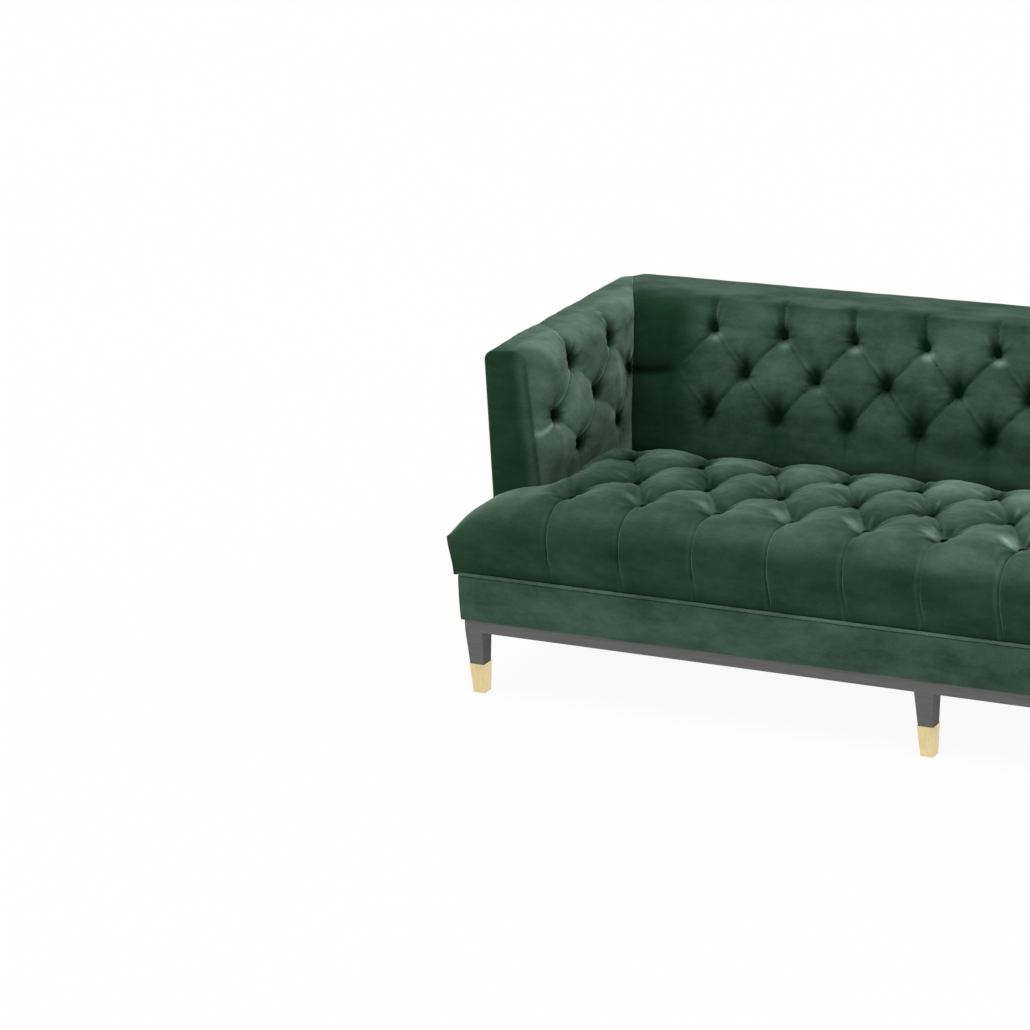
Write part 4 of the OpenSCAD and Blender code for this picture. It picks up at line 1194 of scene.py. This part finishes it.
def build_foam(name, node):
    """Foam block: the node's solid with softened edges."""
    made = linked(name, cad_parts[node].data.copy())
    bm = bmesh.new()
    bm.from_mesh(made.data)
    bmesh.ops.remove_doubles(bm, verts=bm.verts, dist=1e-6)
    bmesh.ops.dissolve_limit(bm, angle_limit=0.02, verts=bm.verts, edges=bm.edges)
    sharp = [e for e in bm.edges if e.is_manifold and e.calc_face_angle() > 0.5]
    bmesh.ops.bevel(bm, geom=sharp, offset=0.005, segments=3, profile=0.5, affect="EDGES")
    bmesh.ops.triangulate(bm, faces=bm.faces)
    bm.to_mesh(made.data)
    bm.free()
    finished(made, node, FOAM)


PLACES = [f"{end}_{side}" for end in ("front", "rear") for side in ("left", "middle", "right")]
# Rigid pieces that the frame already holds: material, width of the softened edge and nodes
FRAME_LOOKS = (
    (WEBBING, None, ["seat_straps", "cross_straps", "back_straps"]),
    (HARDWOOD, None, ["front_seat_rail", "back_seat_rail", "side_seat_rails", "cross_rails",
                      "corner_blocks", "arm_front_posts", "arm_rear_posts", "arm_top_rails",
                      "arm_tack_rails", "back_top_rail", "back_tack_rail"]),
    (PLYWOOD, None, ["back_ribs"]),
    (STEEL, None, ["leg_bolts"]),
    (LACQUER, 0.0008, ["plinth_front", "plinth_back", "plinth_left", "plinth_right"]),
    (LACQUER, 0.0012, ["leg_" + place for place in PLACES]),
    (BRASS, 0.0005, ["cap_" + place for place in PLACES]),
    (NYLON, 0.0006, ["glide_" + place for place in PLACES]),
)


def dress_frame():
    for material, bevel, nodes in FRAME_LOOKS:
        for node in nodes:
            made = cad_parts[node]
            made.data.materials.clear()
            made.data.materials.append(material)
            if bevel:
                edge = made.modifiers.new("edge", "BEVEL")
                edge.width = bevel
                edge.segments = 2
                edge.limit_method = "ANGLE"
                edge.angle_limit = radians(40.0)
                edge.harden_normals = True


# Floor, light and camera

CAMERA_AT = (3.2128, -7.7386, 3.2688)
CAMERA_YAW = 29.869
CAMERA_PITCH = 18.5461
CAMERA_ROLL = -3.554
FOCAL_PIXELS = 3983.30
IMAGE_PIXELS = 1030
SENSOR_MM = 36.0
FLOOR_HALF = 60.0
FLOOR_GLOW = 0.94


def place_camera():
    data = bpy.data.cameras.new("camera")
    data.sensor_width = SENSOR_MM
    data.lens = FOCAL_PIXELS * SENSOR_MM / IMAGE_PIXELS
    data.clip_end = 200.0
    place = Matrix.Translation(CAMERA_AT)
    for degrees, axis in ((CAMERA_YAW, "Z"), (90.0 - CAMERA_PITCH, "X"), (CAMERA_ROLL, "Z")):
        place = place @ Matrix.Rotation(radians(degrees), 4, axis)
    camera = linked("camera", data)
    camera.matrix_world = place
    bpy.context.scene.camera = camera


def add_floor():
    h = FLOOR_HALF
    corners = [(-h, -h, 0.0), (h, -h, 0.0), (h, h, 0.0), (-h, h, 0.0)]
    floor = add_mesh("studio_floor", corners, [(0, 1, 2, 3)])
    n = new_material("pale_floor")
    pale = n.ramp(n.noise(0.8), (0.85, 0.85, 0.85), (0.87, 0.87, 0.87))
    floor.data.materials.append(n.done(Base_Color=pale, Roughness=0.9, Specular_IOR_Level=0.0))
    n.glow("Emission", FLOOR_GLOW, "Material Output")


def add_world(fill):
    n = Nodes(bpy.data.worlds.new("studio"), "Background")
    bpy.context.scene.world = n.done(Color=WHITE, Strength=fill)
    n.glow("Background", 1.0, "World Output")


def add_sun(name, place, spread, strength):
    """Soft distant light that comes from the direction `place`."""
    data = bpy.data.lights.new(name, "SUN")
    data.angle = radians(spread)
    data.energy = strength
    linked(name, data).rotation_euler = (-Vector(place)).to_track_quat("-Z", "Y").to_euler()


def build_studio():
    add_floor()
    add_world(0.32)
    add_sun("key", (0.0, -0.25, 1.0), 40.0, 2.15)
    add_sun("fill", (-0.45, -1.0, 0.35), 60.0, 0.7)
    place_camera()
    bpy.context.scene.view_settings.view_transform = "Standard"


build_studio()
build_seat()
build_back()
build_arms()
build_buttons("seat_covered_buttons", "seat_buttons", seat_places())
build_buttons("back_covered_buttons", "back_buttons", back_places())
arm_matrices = arm_places()
build_buttons("right_arm_covered_buttons", "right_arm_buttons", arm_matrices)
build_buttons("left_arm_covered_buttons", "left_arm_buttons", [MIRROR @ m for m in arm_matrices])
build_facings()
build_outside()
build_bands()
build_welt()
build_dust_cover()
build_foam("seat_foam_block", "seat_foam")
build_foam("back_foam_block", "back_foam")
build_foam("arm_foam_blocks", "arm_foam")
dress_frame()
